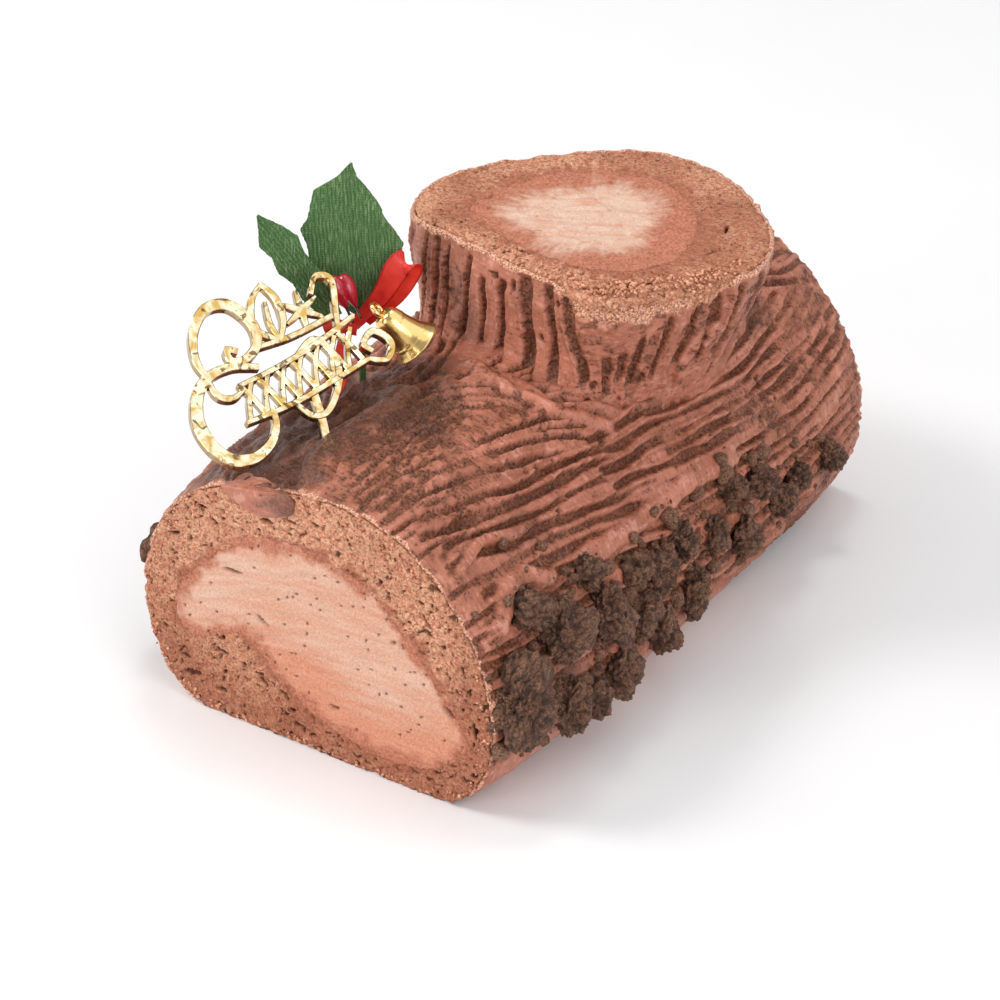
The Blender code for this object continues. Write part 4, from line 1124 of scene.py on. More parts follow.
FRONT_TEARS = [
    ((-27.5, 49.5), 2.2, 0.6, 0.0), ((-10.5, 51.5), 2.0, 0.55, 0.2), ((-34.5, 40.5), 1.8, 0.5, 0.3),
    ((-24.0, 15.5), 2.0, 0.6, -0.2), ((-13.0, 12.0), 1.6, 0.5, -0.5), ((28.0, 42.0), 2.2, 0.5, -0.9),
    ((36.5, 33.0), 1.8, 0.5, -1.2), ((-4.0, 4.5), 1.8, 0.6, -0.3), ((39.0, 20.0), 2.4, 0.5, -1.4),
]
CREAM_SPLITS = [
    ((5.0, 12.6), 1.8, 0.55, -0.1), ((33.0, 22.0), 1.9, 0.8, -0.8), ((-20.0, 36.5), 3.0, 0.45, 0.1),
    ((-12.5, 27.0), 2.0, 0.5, -0.5), ((20.0, 34.0), 0.9, 0.5, 0.3),
]


def inside(flat, outline):
    """Whether flat places lie inside a closed outline."""
    result = np.zeros(flat.shape[:-1], bool)
    x, y = flat[..., 0], flat[..., 1]
    for (ax, ay), (bx, by) in zip(outline, np.roll(outline, -1, axis=0)):
        if ay != by:
            crossing = ((ay > y) != (by > y)) & (x < (bx - ax) * (y - ay) / (by - ay) + ax)
            result ^= crossing
    return result


def distance_to(flat, outline):
    best = np.full(flat.shape[:-1], 1e9)
    for start in range(0, len(outline), 20):
        chunk = outline[start:start + 20]
        best = np.minimum(best, np.min(np.linalg.norm(flat[..., None, :] - chunk, axis=-1), axis=-1))
    return best


SLAB_MARGIN = 0.9
CREAM_SUNK = 0.05  # below the cut faces
BRANCH_CREAM_FOOT = ([-30, -10, 5, 20, 35], [54, 57, 59, 57, 47])  # places across the log, and heights there


def slab(outline, cell):
    """A closed block over the cells that lie inside an outline grown by a margin.

    Gives the places of its points, the same for its front and its back, and the faces between the two.
    """
    low, high = outline.min(0) - 2, outline.max(0) + 2
    xs, ys = np.arange(low[0], high[0], cell), np.arange(low[1], high[1], cell)
    flat = np.stack(np.meshgrid(xs, ys, indexing="ij"), -1)
    middles = flat[:-1, :-1] + cell / 2
    kept = inside(middles, outline) | (distance_to(middles, outline) < SLAB_MARGIN)
    index = -np.ones(flat.shape[:-1], int)
    used = np.zeros(flat.shape[:-1], bool)
    for a in (slice(0, -1), slice(1, None)):
        for b in (slice(0, -1), slice(1, None)):
            used[a, b] |= kept
    index[used] = np.arange(used.sum())
    spots = flat[used]
    count = len(spots)
    i, j = np.nonzero(kept)
    quads = points_of(index[i, j], index[i + 1, j], index[i + 1, j + 1], index[i, j + 1])
    faces = [quads, quads[:, ::-1] + count]
    padded = np.pad(kept, 1)
    for di, dj, first, second in ((1, 0, (1, 0), (1, 1)), (-1, 0, (0, 1), (0, 0)),
                                  (0, 1, (1, 1), (0, 1)), (0, -1, (0, 0), (1, 0))):
        open_side = kept & ~padded[1 + di:padded.shape[0] - 1 + di, 1 + dj:padded.shape[1] - 1 + dj]
        i, j = np.nonzero(open_side)
        a, b = index[i + first[0], j + first[1]], index[i + second[0], j + second[1]]
        faces.append(points_of(b, a, a + count, b + count))
    return spots, np.vstack(faces).tolist()


def drawn_lines(flat):
    """Coordinates along and, far closer together, across the lines that the knife drew in the cream."""
    x, z = flat[..., 0], flat[..., 1]
    return points_of(x, 9.0 * (z - 0.0088 * (15 * x - x * x / 2)))


def cream_pits(flat, seed):
    """Depth, from 0 to 1, of the odd air hole, large or small."""
    near, kind = nearest_cell(flat, 2.6, seed)
    return (1 - smoothstep(0.05, 0.06 + 0.16 * kind, near)) * (kind > 0.74)


def build_log_cream(material):
    filling = Line(LOG_FILLING, closed=True).evenly(240)

    def face(flat, seed):
        return (0.15 * noise(drawn_lines(flat), 7.0, seed, 4) + 0.14 * noise(flat, 4.0, seed + 1)
                + 0.07 * noise(flat, 0.7, seed + 2) - 0.5 * cream_pits(flat, seed + 3))

    spots, faces = slab(filling, 0.42)
    front_y = -LOG_END + CREAM_SUNK - (face(spots, 71) - tears(spots, CREAM_SPLITS))
    back_y = LOG_END - 0.5 + np.minimum(face(spots, 81), 0.45)
    points = np.vstack([points_of(spots[:, 0], y, spots[:, 1]) for y in (front_y, back_y)])
    rim = distance_to(spots, filling)
    # The tone falls towards the bottom of the face: painted shade.
    tone = (0.52 + 0.20 * noise(drawn_lines(spots), 11.0, 75, 4) + 0.20 * noise(spots, 16.0, 76)
            - 0.75 * smoothstep(30, 8, spots[:, 1]))
    # Pits and splits are painted dark: painted shade in them.
    pit = np.maximum(cream_pits(spots, 74), 0.8 * tears(spots, CREAM_SPLITS))
    edge = smoothstep(3.2, 0.3, rim + 1.6 * noise(spots, 3.0, 77, 3))
    marks = np.tile(points_of(pit, edge, tone), (2, 1))
    make_piece("log_cream", points, faces, material, ["log_filling"], marks)


BRANCH_TEARS = [((29.5, -3.6), 2.0, 0.8, 0.9), ((31.5, -1.0), 1.4, 0.6, 0.4), ((36.2, 17.0), 2.6, 0.45, 1.2),
                ((33.0, 28.0), 2.4, 0.4, 2.0)]


def build_branch_sponge(material):
    count = 700
    filling = Line(BRANCH_FILLING, closed=True)
    inner, outer, outer_normal, outer_at = rolled(filling, BRANCH_LINE, count, BRANCH_ROLL_MIDDLE, 81)
    spilt = spill(outer_at)
    shares = np.linspace(0, 1, 50)[:, None, None]
    width = np.linalg.norm(outer - inner, axis=1)[None]
    flat = inner[None] + (outer - inner)[None] * shares
    edge, to_rim = shares[..., 0] * width, (1 - shares[..., 0]) * width
    relief, pores = crumb_relief(flat, 82)
    far = smoothstep(-6, 8, flat[..., 1])  # the crumb is closer at the back
    relief = relief * (1 - 0.55 * far) * smoothstep(-1.0, 2.5, edge)
    torn = tears(flat, BRANCH_TEARS)
    relief = relief - 1.3 * torn - 0.4 * np.exp(-to_rim / 0.6) - 0.12 * np.exp(-edge / 0.3)
    ragged = np.exp(-to_rim / 1.5) * (0.5 * noise(flat, 1.3, 83, 2) + 0.2 + 1.5 * spilt[None])
    flat = flat + outer_normal[None] * ragged[..., None]
    z = BRANCH_TOP + np.clip(relief, -2.0, 0.5) - 0.5 * np.exp(-to_rim / 2.0) * spilt[None]
    skirt = []
    for drop, out in ((0.9, 0.25), (1.6, 0.1), (2.3, -0.5)):
        level = BRANCH_TOP - 0.9 - drop
        wobble = 0.45 * noise(points_of(outer_at, level), 1.2, 84, 2)
        reach = (1.9 * spilt + out) * (spilt > 0.02) + wobble * spilt - 0.2 * (1 - spilt)
        skirt.append(raised(narrowed(outer, level) + outer_normal * reach[:, None], level)[None])
    foot = branch_feet(outer, outer_normal, 0.0) - 2.0
    wall = raised(narrowed(outer, foot) - outer_normal * BURIED, foot)[None]
    bore_foot = raised(narrowed(inner, foot), foot - 0.5)[None]
    bore_top = raised(inner, BRANCH_TOP - 3.0)[None]
    rings = np.concatenate([raised(flat, z), *skirt, wall, bore_foot, bore_top])
    smeared = smoothstep(5.5, 0.5, edge + 2.8 * noise(from_middle(flat), 1.0, 97, 4))
    right = smoothstep(18, 34, flat[..., 0])
    tone = (0.66 + 0.40 * noise(flat, 9.0, 86, 2) - 0.22 * far - 0.25 * right
            + 0.55 * (0.35 + 0.65 * spilt[None]) * (1 - far) * np.exp(-to_rim / 5.0))
    pore = np.clip(pores * (1 - 0.5 * far) + torn, 0, 1)
    marks = np.zeros(rings.shape) + (0.1, 0.0, 0.85)
    marks[:len(flat)] = points_of(pore, smeared, tone)
    make_piece("branch_sponge_crumb", rings, ring_faces(rings), material, ["branch_sponge"], marks)


def from_middle(flat):
    """Coordinates round and, drawn out, away from the middle of the branch's roll."""
    away = flat - np.array(BRANCH_ROLL_MIDDLE)
    return points_of(np.arctan2(away[..., 1], away[..., 0]) * 24, np.linalg.norm(away, axis=-1) / 4.5)


def build_branch_cream(material):
    filling = Line(BRANCH_FILLING, closed=True).evenly(200)

    def drawn(flat):
        """Coordinates along and, four times closer together, across the knife's lines."""
        x, y = flat[..., 0], flat[..., 1]
        return points_of(x * 0.83 + y * 0.55, (y * 0.83 - x * 0.55) * 4)

    spots, faces = slab(filling, 0.4)
    relief = (0.28 * noise(drawn(spots), 7.0, 91, 3) + 0.15 * noise(spots, 5.0, 93)
              + 0.10 * noise(spots, 0.8, 94, 2) - 0.4 * cream_pits(spots, 92))
    low = np.interp(spots[:, 0], *BRANCH_CREAM_FOOT)
    points = np.vstack([raised(spots, BRANCH_TOP - CREAM_SUNK + relief), raised(narrowed(spots, low), low)])
    rim = distance_to(spots, filling)
    tone = 0.84 + 0.30 * noise(drawn(spots), 5.0, 95, 4) + 0.20 * noise(spots, 1.4, 96, 2)
    lopsided = 3.4 * smoothstep(11, 24, spots[:, 0]) + 1.6 * smoothstep(18, 30, spots[:, 1])
    edge = smoothstep(8.5, 0.8, rim + 1.7 * noise(from_middle(spots), 1.0, 97, 3)
                      + 2.6 * noise(spots, 8.0, 98, 2) + 0.8 * noise(spots, 1.5, 99, 2) - lopsided)
    marks = np.tile(points_of(0.6 * cream_pits(spots, 92), edge, tone), (2, 1))
    make_piece("branch_cream", points, faces, material, ["branch_filling"], marks)


# ---------------------------------------------------------------- cookie chunks and crumbs

CHUNK_SINK = 2.2  # how far a chunk goes on inside the icing
LARGE_CHUNK = 12.8  # chunks in view with a longer side than this get a finer mesh


def lump(low, high, level, serial):
    """A rough, granular lump that fills a box, and the depth of its hollows, which the cookie's colour
    paints as shade.
    """
    half = (high - low) / 2
    ball, faces = icosphere(level)
    turn = np.array(Matrix.Rotation(serial * 2.4, 3, Vector((0.3, 1.0, 0.5)).normalized()))
    seeded = ball @ turn.T * 5.0 + serial * 13.7
    grid = ball * half
    place = grid + serial * 17.3
    bent = place + 0.5 * np.stack([noise(place + i * 9.1, 1.4, 105 + i) for i in range(3)], -1)
    coarse = 0.30 * noise(seeded, 4.2, 101, 3)
    knobs, _ = nearest_cell(bent, 3.1, 102)
    grains, _ = nearest_cell(bent, 1.15, 103)
    relief = coarse * max(half) + (0.5 - knobs) + 1.05 * (0.5 - grains) + 0.44 * noise(place, 0.55, 104, 2)
    away = grid / np.linalg.norm(grid, axis=1, keepdims=True)
    shape = grid + away * relief[:, None]
    shape = (shape - shape.min(0)) / (shape.max(0) - shape.min(0))
    crevice_shade = smoothstep(0.45, 0.85, knobs) * 0.6 + smoothstep(0.42, 0.75, grains) * 0.8
    return low + shape * (high - low), faces, crevice_shade


def chunk_boxes():
    """The name and the low and high corner of each cookie chunk's solid."""
    for name in sorted(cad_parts):
        if name.startswith("cookie_chunk_"):
            low, high = (np.array(corner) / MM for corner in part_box(name))
            yield name, low, high


def build_chunks(material):
    sides = {1: [], -1: []}
    for serial, (name, low, high) in enumerate(chunk_boxes()):
        side = 1 if low[0] > 0 else -1
        inner = low if side > 0 else high
        inner[0] -= side * CHUNK_SINK
        sides[side].append((name, serial, low, high))
    for side, label in ((1, "near"), (-1, "far")):
        parts, hollows = [], []
        for _, serial, low, high in sides[side]:
            level = 4 if side < 0 else 5 + int(max(high - low) > LARGE_CHUNK)
            points, faces, crevice_shade = lump(low, high, level, serial)
            points[:, 2] = np.maximum(points[:, 2], 0.1)
            parts.append((points, faces))
            hollows.append(crevice_shade)
        points, faces = joined(parts)
        marks = np.zeros((len(points), 3))
        marks[:, 0] = np.concatenate(hollows)
        make_piece(f"cookie_chunks_{label}", points, faces, material,
                   [name for name, *_ in sides[side]], marks)


def scatter_crumbs(name, spots, sizes, material, seed):
    """Small loose crumbs, one joined mesh."""
    rng = sprinkle(seed)
    balls = [icosphere(level) for level in (1, 2, 3)]
    parts = []
    for index, (spot, size) in enumerate(zip(spots, sizes)):
        ball, faces = balls[int(size > 0.5) + int(size > 1.3)]
        shape = ball * rng.uniform(0.65, 1.25, 3)
        shape = shape * (1 + 0.35 * noise(ball * 1.3 + index * 3.1, 1.0, seed))[:, None]
        turn = np.array(Matrix.Rotation(rng.uniform(0, 6.28), 3, Vector(rng.normal(size=3)).normalized()))
        parts.append((spot + shape @ turn.T * size, faces))
    points, faces = joined(parts)
    make_piece(name, points, faces, material, (), np.zeros((len(points), 3)))


def build_cookie_crumbs(material, coat):
    """Loose cookie crumbs on the icing around the chunks."""
    rng = sprinkle(111)
    rows = log_rows()
    spots, sizes = [], []
    for _, low, high in chunk_boxes():
        middle, half = (low + high) / 2, (high - low) / 2
        for _ in range(19):
            y = middle[1] + 0.75 * rng.normal() * (half[1] + 1.0)
            z = middle[2] + 0.75 * rng.normal() * (half[2] + 1.0)
            row = int(np.clip(np.searchsorted(rows, y), 2, len(rows) - 3))
            heights = coat[:, row, 2]
            right = coat[:, row, 0] * np.sign(middle[0]) > 20
            match = np.argmin(np.where(right, np.abs(heights - z), 99))
            size = 0.25 + 1.75 * rng.uniform() ** 2.2
            spots.append(coat[match, row] + (0.3 * size * np.sign(middle[0]), 0, 0))
            sizes.append(size)
    scatter_crumbs("cookie_crumbs", spots, sizes, material, 112)


def build_sponge_crumbs(material):
    """Crumbs torn off the sponge: along the front rim of the branch's top, and along the log's cut edge."""
    rng = sprinkle(121)
    spots, sizes = [], []
    for _ in range(900):
        s = rng.uniform(150, 214)
        amount = spill(np.array([s]))[0]
        if rng.uniform() > 0.15 + amount:
            continue
        edge, out = BRANCH_LINE.at(np.array([s]))[0], BRANCH_LINE.normals(np.array([s]))[0]
        inward = rng.uniform(-1.9 * amount - 0.4, 4.0)
        on_top = inward > -1.0
        level = BRANCH_TOP + (rng.uniform(-0.1, 0.25) if on_top else -rng.uniform(0, 3.6) * amount)
        spots.append((*(edge - out * inward), level))
        sizes.append(rng.uniform(0.2, 0.5))
    for _ in range(420):
        arc = rng.uniform(0, 242)
        edge, out = LOG_LINE.at(np.array([arc]))[0], LOG_LINE.normals(np.array([arc]))[0]
        spot = edge - out * rng.uniform(-0.2, 2.5)
        spots.append((spot[0], -LOG_END - rng.uniform(-0.2, 0.3), max(spot[1], 0.8)))
        sizes.append(rng.uniform(0.18, 0.42))
    scatter_crumbs("sponge_crumbs", spots, sizes, material, 122)


# ---------------------------------------------------------------- gold pick

SIGN_ORIGIN = Vector((-9.9, -56.8, 61.8))
SIGN_NORMAL = Vector((0.544, -0.351, 0.762)).normalized()
SIGN_U = Vector((0.402, 0.906, 0.131)).normalized()
SIGN_DEPTH = 2.4
STAKE_WIDTH = 1.8
# The scrollwork's strokes in the sign's own plane: (knots, width at the middle, width at the ends)
SIGN_STROKES = [
    ([(-7.0, 23.3), (-8.9, 24.6), (-9.1, 22.0), (-6.2, 21.2), (-2.6, 23.2), (-1.5, 27.6), (-4.0, 33.0),
      (-8.8, 34.0), (-13.4, 30.4), (-15.7, 25.0), (-15.2, 20.4)], 2.4, 1.2),
    ([(-4.6, 18.6), (-9.5, 20.8), (-14.5, 20.9), (-18.6, 18.6), (-21.4, 13.6), (-21.5, 8.0), (-19.2, 3.5),
      (-14.8, 1.8), (-10.2, 3.2), (-7.2, 6.4), (-6.3, 10.0)], 2.8, 1.2),
    ([(-15.6, 20.4), (-15.2, 16.6), (-12.6, 14.8), (-9.6, 15.6)], 1.4, 1.0),
    ([(-12.6, 9.0), (-2.0, 8.8), (8.0, 9.8), (17.0, 11.0)], 1.3, 1.1),
    ([(-10.4, 16.6), (-1.0, 17.0), (8.0, 18.2), (18.6, 20.6)], 1.3, 1.1),
    ([(17.0, 11.0), (20.6, 9.4), (23.0, 12.4), (20.8, 16.0), (17.6, 14.4), (18.6, 12.2)], 1.5, 1.1),
    ([(2.0, 22.0), (-1.4, 26.4), (0.6, 31.6), (4.4, 34.4)], 1.6, 1.0),
    ([(2.4, 22.0), (5.0, 26.0), (5.6, 30.6), (4.2, 34.6)], 1.6, 1.0),
    ([(2.2, 22.0), (2.0, 26.0), (3.2, 30.6)], 1.2, 0.8),
    ([(-2.4, 22.4), (5.0, 21.8), (14.6, 22.4)], 1.2, 1.2),
    ([(12.8, 28.2), (15.6, 31.4), (18.2, 29.4), (15.8, 23.0), (14.0, 18.6)], 1.5, 1.1),
    ([(3.0, 17.4), (8.6, 19.4), (10.8, 14.4), (8.8, 9.0), (4.0, 4.6), (0.6, 4.9), (-1.6, 9.0)], 1.6, 1.1),
]
STAR = np.array((9.4, 26.0))
STAR_ARM = 4.4
STAR_TURN = 0.35


def sign_strokes():
    yield from SIGN_STROKES
    lean, rise = 1.6, 8.0
    for i in range(7):
        u, v = -10.4 + 4.0 * i, 9.0 + 0.28 * i
        middle = v + rise / 2
        yield [(u - 1.2, v), (u + 0.5, middle), (u + lean + 1.6, v + rise)], 1.1, 1.1
        yield [(u + 2.6, v), (u + lean, middle), (u + lean - 1.4, v + rise)], 1.1, 1.1
    for i in range(3):
        turn = math.pi * i / 3 + STAR_TURN
        arm = np.array((math.cos(turn), math.sin(turn))) * STAR_ARM
        yield [STAR - arm, STAR, STAR + arm], 1.5, 0.7


def gold_band(knots, wide, narrow, deep):
    """A flat band along a curve with small bevels on its edges, in the sign's plane."""
    line = Line(knots, closed=False)
    count = max(int(line.length / 0.55), 6)
    at = np.linspace(0, line.length, count)
    middle, along = line.at(at), line.tangents(at, reach=0.3)
    across = points_of(-along[:, 1], along[:, 0])
    half = (narrow + (wide - narrow) * np.sin(np.pi * at / line.length)) / 2
    bevel = 0.16
    rings = []
    for side, height in ((-1, -deep / 2 + bevel), (-1, deep / 2 - bevel), (-1, deep / 2), (1, deep / 2),
                         (1, deep / 2 - bevel), (1, -deep / 2 + bevel), (1, -deep / 2), (-1, -deep / 2)):
        inset = bevel if abs(height) == deep / 2 else 0.0
        spot = middle + across * (side * (half - inset))[:, None]
        rings.append(raised(spot, height))
    return np.stack(rings, 1).reshape(-1, 3), tube_faces(count, len(rings))


def build_gold_pick(material):
    parts = [gold_band(*stroke, SIGN_DEPTH - 0.02 * i) for i, stroke in enumerate(sign_strokes())]
    parts.append(gold_band([(3.2, 9.6), (1.9, 3.4), (0.0, -3.0), (-1.6, -11.0)], STAKE_WIDTH, STAKE_WIDTH,
                           STAKE_WIDTH))
    points, faces = joined(parts)
    up = SIGN_NORMAL.cross(SIGN_U).normalized()
    turn = np.array((SIGN_U, up, SIGN_NORMAL))
    points = np.array(SIGN_ORIGIN) + points @ turn
    make_piece("gold_scrollwork", points, faces, material, ["gold_pick"], sharp=35)


# ---------------------------------------------------------------- holly pick

LEAF_THICKNESS = 0.5
LEAF_FOLD = 0.18
RIBBON_THICKNESS = 0.18
THREAD_SPAN = 40.0  # the length of cloth over which a mark runs from 0 to 1
BROAD_LEAF = [
    (0.0, 1.0, 1.0), (0.10, 5.0, 4.5), (0.20, 8.0, 7.5), (0.30, 11.0, 9.8), (0.41, 9.8, 8.4),
    (0.52, 10.2, 9.8), (0.62, 11.3, 7.8), (0.69, 9.5, 6.2), (0.76, 8.9, 5.4), (0.85, 8.0, 3.0),
    (0.92, 3.2, 1.0), (1.0, 0.3, 0.3),
]
NARROW_LEAF = [
    (0.0, 1.2, 1.0), (0.14, 3.0, 2.4), (0.30, 3.5, 3.8), (0.44, 3.0, 2.9), (0.58, 4.0, 3.0),
    (0.70, 3.1, 4.0), (0.82, 3.8, 2.7), (0.92, 1.8, 1.4), (1.0, 0.3, 0.3),
]
BELL_CROWN = Vector((-15.6, -27.7, 75.4))
BELL_AXIS = Vector((6.2, 4.1, -7.4)).normalized()
BELL_HEIGHT = 10.0
BELL_RADIUS = 5.5
BELL_WALL = 0.7


def make_strip(name, top, low, marks, material, node):
    """A closed strip of cloth from the rows of its upper and its lower side, with the same marks on both."""
    rings, marks = (np.concatenate([one, other[:, ::-1]], 1) for one, other in ((top, low), (marks, marks)))
    make_piece(name, rings, tube_faces(*rings.shape[:2]), material, [node], marks)


def build_leaf(name, foot, tip, across, edges, cup, material, seed):
    """A holly leaf of stiff cloth: hollows between its spines, a folded midrib, a slightly waved edge."""
    foot, tip = np.array(foot), np.array(tip)
    across = np.array(across) / np.linalg.norm(across)
    along = tip - foot
    out = np.cross(across, along)
    out = out / np.linalg.norm(out)
    table = np.array(edges)
    rows = 90
    shares = np.linspace(0, 1, rows)
    left = np.interp(shares, table[:, 0], table[:, 1])
    right = np.interp(shares, table[:, 0], table[:, 2])
    lanes = np.linspace(-1, 1, 41)
    width = np.where(lanes[None] < 0, left[:, None], right[:, None])
    off = lanes[None] * width
    middle = foot + along * shares[:, None] + out * (cup * np.sin(np.pi * shares))[:, None]
    fray = 0.10 * noise(points_of(shares * 90, 0 * shares), 0.9, seed)[:, None] * np.abs(lanes[None]) ** 6
    wave = 0.35 * np.sin(shares * 19 + seed)[:, None] * np.abs(lanes[None]) ** 2
    lift = np.abs(off) * LEAF_FOLD + wave - 0.25 * np.exp(-(off / 0.5) ** 2)
    top = middle[:, None] + across * (off + fray)[..., None] + out * lift[..., None]
    low = top - out * (LEAF_THICKNESS * 0.6)
    marks = points_of((off + 12) / THREAD_SPAN, shares[:, None] * np.linalg.norm(along) / THREAD_SPAN, 0.0)
    make_strip(name + "_cloth", top, low, marks, material, name)


def build_ribbon(name, route, across, widths, material):
    """A thin strip along a route, slightly cupped, as wide as given at its start, middle and end."""
    line = Line(route, closed=False)
    count = 70
    at = np.linspace(0, line.length, count)
    middle, along = line.at(at), line.tangents(at, reach=0.4)
    across = np.array(across) / np.linalg.norm(across)
    side = across - along * (along @ across)[:, None]
    side = side / np.linalg.norm(side, axis=1, keepdims=True)
    out = np.cross(side, along)
    width = np.interp(at / line.length, (0, 0.5, 1), widths)
    lanes = np.linspace(-1, 1, 13)
    off = lanes[None] * width[:, None] / 2
    cup = 0.22 * (lanes[None] ** 2) + 0.12 * np.sin(at[:, None] / 1.7 + lanes[None])
    lift = (cup + RIBBON_THICKNESS / 2)[..., None]
    top = middle[:, None] + side[:, None] * off[..., None] + out[:, None] * lift
    low = top - out[:, None] * RIBBON_THICKNESS
    marks = points_of((lanes[None] + 1) / 2, at[:, None] / THREAD_SPAN, 0.0)
    make_strip(name + "_strip", top, low, marks, material, name)


def turned(profile, crown, axis, steps):
    """Points and faces of a turned shape: its profile is (radius, height along the axis)."""
    angle = np.linspace(0, 2 * np.pi, steps, endpoint=False)
    profile = np.array(profile)
    radius = np.maximum(profile[:, 0], 0.004)
    rings = points_of(radius[:, None] * np.cos(angle), radius[:, None] * np.sin(angle), profile[:, 1:])
    return np.array(crown) + rings.reshape(-1, 3) @ turn_to(axis).T, tube_faces(len(profile), steps)


def build_bell(material):
    r, h = BELL_RADIUS, BELL_HEIGHT
    outside = [(0.0, 0.0), (0.25 * r, -0.01 * h), (0.42 * r, -0.06 * h), (0.52 * r, -0.17 * h),
               (0.60 * r, -0.45 * h), (0.72 * r, -0.72 * h), (0.88 * r, -0.90 * h), (r, -h)]
    smooth = catmull_rom(outside, 8, closed=False)
    lines = smooth[:, 0].copy()
    for height in (-0.24, -0.30, -0.80):  # the raised bands turned into it
        lines += 0.10 * bump(smooth[:, 1] / h - height, 0.014)
    outer = points_of(lines, smooth[:, 1])
    rim = [(r + 0.02, -h - 0.12), (r - 0.18, -h - 0.24), (r - 0.4, -h - 0.25)]
    inner = [(max(x - BELL_WALL, 0.0), y - 0.05) for x, y in smooth[::-1] if -0.97 * h < y < -0.17 * h]
    shell = turned([*outer.tolist(), *rim, *inner, (0.0, -0.17 * h)], BELL_CROWN, -BELL_AXIS, 64)
    ring, tube = 28, 12
    a, b = np.meshgrid(np.linspace(0, 2 * np.pi, ring, endpoint=False),
                       np.linspace(0, 2 * np.pi, tube, endpoint=False), indexing="ij")
    reach = 1.5 + 0.55 * np.cos(b)
    eye = points_of(reach * np.cos(a), 0.55 * np.sin(b), reach * np.sin(a)).reshape(-1, 3)
    eye = np.array(BELL_CROWN - BELL_AXIS * 1.2) + eye @ turn_to(-BELL_AXIS).T
    points, faces = joined([shell, (eye, grid_faces(ring, tube, True, True).tolist())])
    make_piece("bell_shell", points, faces, material, ["bell"])
    clapper = [(0.0, -0.17 * h - 1.0), (0.45, -0.17 * h - 1.05), (0.45, -0.62 * h), (1.35, -0.72 * h),
               (1.7, -0.84 * h), (1.35, -0.96 * h), (0.6, -1.02 * h), (0.0, -1.04 * h)]
    points, faces = turned(catmull_rom(clapper, 6, closed=False), BELL_CROWN, -BELL_AXIS, 32)
    make_piece("bell_clapper_drop", points, faces, material, ["bell_clapper"])


def build_berry(name, tip, foot, material):
    tip, foot = Vector(tip), Vector(foot)
    length = (tip - foot).length
    shape = [(0.0, 0.0), (0.8, -0.25), (1.45, -1.1), (1.75, -2.4), (1.65, -3.8), (1.25, -5.2), (0.75, -6.5),
             (0.35, -7.6), (0.3, -8.4), (0.3, -length)]
    profile = catmull_rom(shape, 6, closed=False)
    points, faces = turned(profile, tip, tip - foot, 32)
    marks = np.zeros((len(points), 3))
    marks[:, 0] = np.repeat(smoothstep(-6.6, -7.8, profile[:, 1]), 32)
    make_piece(name + "_pip", points, faces, material, [name], marks)


def build_ornament():
    leaf, berry, ribbon = leaf_material(), berry_material(), ribbon_material()
    build_leaf("holly_leaf_1", (-26.4, -19.5, 68.0), (-27.7, -20.5, 103.2), (0.83, 0.55, 0.0), BROAD_LEAF,
               1.5, leaf, 1)
    build_leaf("holly_leaf_2", (-27.6, -26.6, 70.6), (-40.6, -35.4, 94.0), (0.50, 0.62, 0.60), NARROW_LEAF,
               1.0, leaf, 2)
    build_berry("berry_1", (-25.8, -30.7, 82.3), (-21.6, -29.4, 72.2), berry)
    build_berry("berry_2", (-26.2, -26.8, 81.0), (-21.2, -27.2, 72.4), berry)
    build_ribbon("ribbon_loop", [(-24.5, -25.4, 68.8), (-20.2, -21.4, 75.3), (-17.4, -19.6, 81.6),
                                 (-16.2, -18.4, 82.8), (-15.8, -17.5, 80.6), (-18.6, -18.8, 74.4),
                                 (-23.6, -22.2, 68.5)], (0.72, 0.40, -0.55), (2.4, 5.8, 2.4), ribbon)
    build_ribbon("ribbon_tail", [(-21.2, -33.4, 70.4), (-20.2, -35.8, 66.4), (-17.4, -40.6, 64.2),
                                 (-15.6, -44.2, 63.2)], (0.83, 0.55, 0.0), (2.2, 4.0, 1.2), ribbon)
    build_ribbon("ribbon_band", [(-26.4, -33.4, 71.6), (-23.2, -32.6, 72.2), (-19.4, -31.2, 71.6)],
                 (0.1, -0.1, 0.98), (3.0, 3.6, 2.4), ribbon)
    build_bell(bell_material())
    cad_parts["ornament_wire"].data.materials.clear()
    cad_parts["ornament_wire"].data.materials.append(wire_material())


# ---------------------------------------------------------------- stage

def build_stage():
    bpy.ops.mesh.primitive_plane_add(size=12.0)
    floor = bpy.context.object
    floor.name = "floor"
    floor.data.materials.append(floor_material())


LIGHT_TARGET = Vector((0, 0, 0.04))
WARM, WHITE = (1.0, 0.985, 0.96), (1.0, 1.0, 1.0)
# Name, place, size, power and colour of each light
LIGHTS = (
    ("key", (-0.55, -0.35, 0.75), 0.32, 3.4, WARM),
    ("front", (-0.25, -0.95, 0.35), 0.6, 2.3, WHITE),
    ("overhead", (0.42, 0.14, 0.85), 1.2, 3.0, WHITE),
    ("top", (-0.12, 0.22, 1.0), 0.25, 1.5, WHITE),
    ("fill", (0.95, -0.45, 0.45), 0.7, 3.4, WHITE),
    ("left", (-0.95, -0.15, 0.40), 0.6, 2.4, WHITE),
)
# How the world's brightness falls from the horizon to the top
WORLD_RAMP = (("From Min", 0.12), ("From Max", 0.6), ("To Min", 0.88), ("To Max", 0.38))
CAMERA_PLACE = (0.3554, -0.5402, 0.4229)
CAMERA_AZIMUTH = 33.703
CAMERA_ELEVATION = 31.830
CAMERA_LENS = 126.71


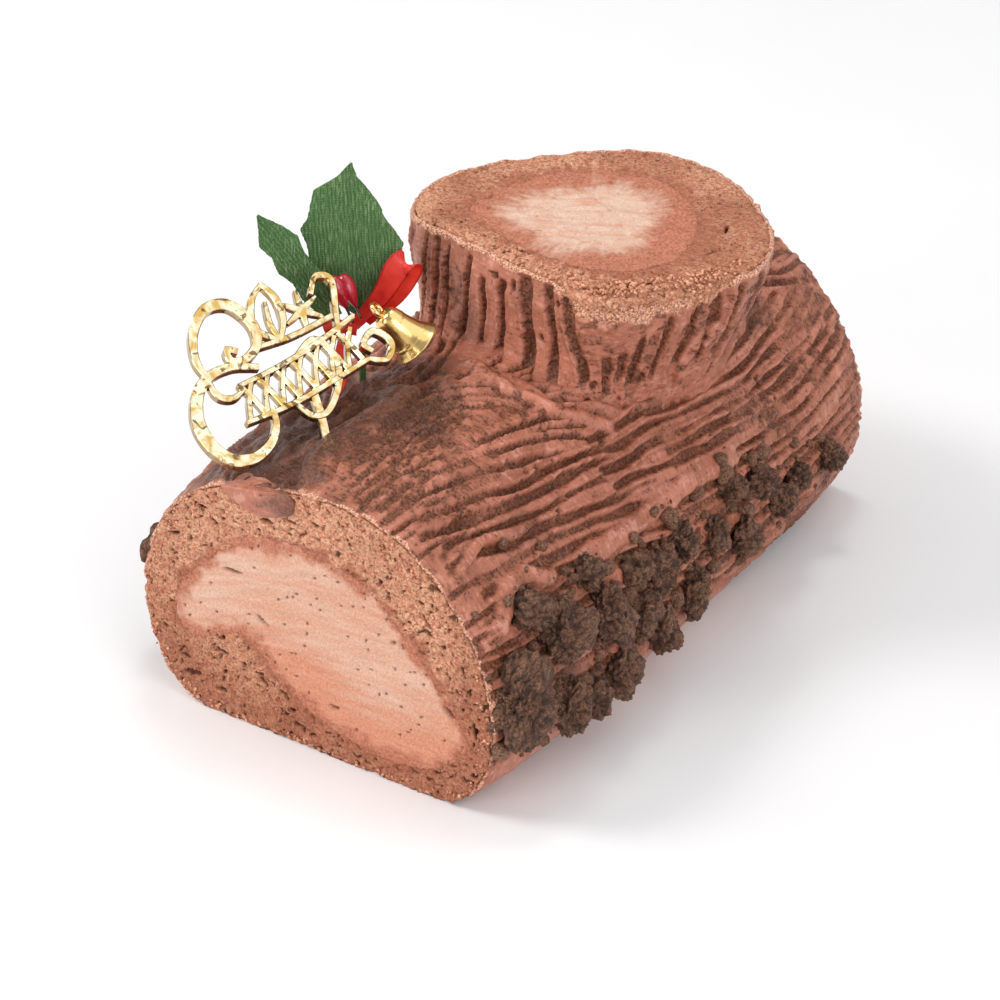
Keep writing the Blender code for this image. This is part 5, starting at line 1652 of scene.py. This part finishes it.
def add_light(name, place, size, power, tint):
    light = bpy.data.lights.new(name, "AREA")
    light.shape = "DISK"
    light.size = size
    light.energy = power
    light.color = tint
    lamp = bpy.data.objects.new(name, light)
    bpy.context.scene.collection.objects.link(lamp)
    lamp.location = place
    lamp.rotation_euler = (LIGHT_TARGET - Vector(place)).to_track_quat("-Z", "Y").to_euler()


def light_stage():
    bpy.context.scene.view_settings.view_transform = "Standard"
    world = bpy.data.worlds.new("studio")
    bpy.context.scene.world = world
    world.use_nodes = True
    tree = world.node_tree
    background = tree.nodes["Background"]
    up = tree.nodes.new("ShaderNodeSeparateXYZ")
    tree.links.new(tree.nodes.new("ShaderNodeTexCoord").outputs["Generated"], up.inputs[0])
    ramp = tree.nodes.new("ShaderNodeMapRange")
    tree.links.new(up.outputs["Z"], ramp.inputs["Value"])
    for key, value in WORLD_RAMP:
        ramp.inputs[key].default_value = value
    tree.links.new(ramp.outputs["Result"], background.inputs["Strength"])
    background.inputs["Color"].default_value = (1.0, 1.0, 1.0, 1.0)
    for light in LIGHTS:
        add_light(*light)


def place_camera():
    """To the right of the cut face, looking down."""
    camera = bpy.data.cameras.new("camera")
    camera.lens = CAMERA_LENS
    camera.sensor_width = 36.0
    camera.clip_start, camera.clip_end = 0.05, 20.0
    view = bpy.data.objects.new("camera", camera)
    bpy.context.scene.collection.objects.link(view)
    view.location = CAMERA_PLACE
    azimuth, elevation = math.radians(CAMERA_AZIMUTH), math.radians(CAMERA_ELEVATION)
    toward = Vector((-math.sin(azimuth) * math.cos(elevation), math.cos(azimuth) * math.cos(elevation),
                     -math.sin(elevation)))
    view.rotation_euler = toward.to_track_quat("-Z", "Y").to_euler()
    bpy.context.scene.camera = view


place_camera()
build_stage()
light_stage()
log_icing = icing_material("icing_on_log", (0.3, 1.0, 0.3))
coat = build_log_icing(log_icing)
build_icing_drop(log_icing)
build_branch_icing(icing_material("icing_on_branch", (0.3, 0.3, 1.0)))
sponge = sponge_material()
build_log_sponge(sponge)
build_branch_sponge(sponge)
cream = cream_material()
build_log_cream(cream)
build_branch_cream(cream)
cookie = cookie_material()
build_chunks(cookie)
build_cookie_crumbs(cookie, coat)
build_sponge_crumbs(crumb_material())
build_gold_pick(gold_material())
build_ornament()
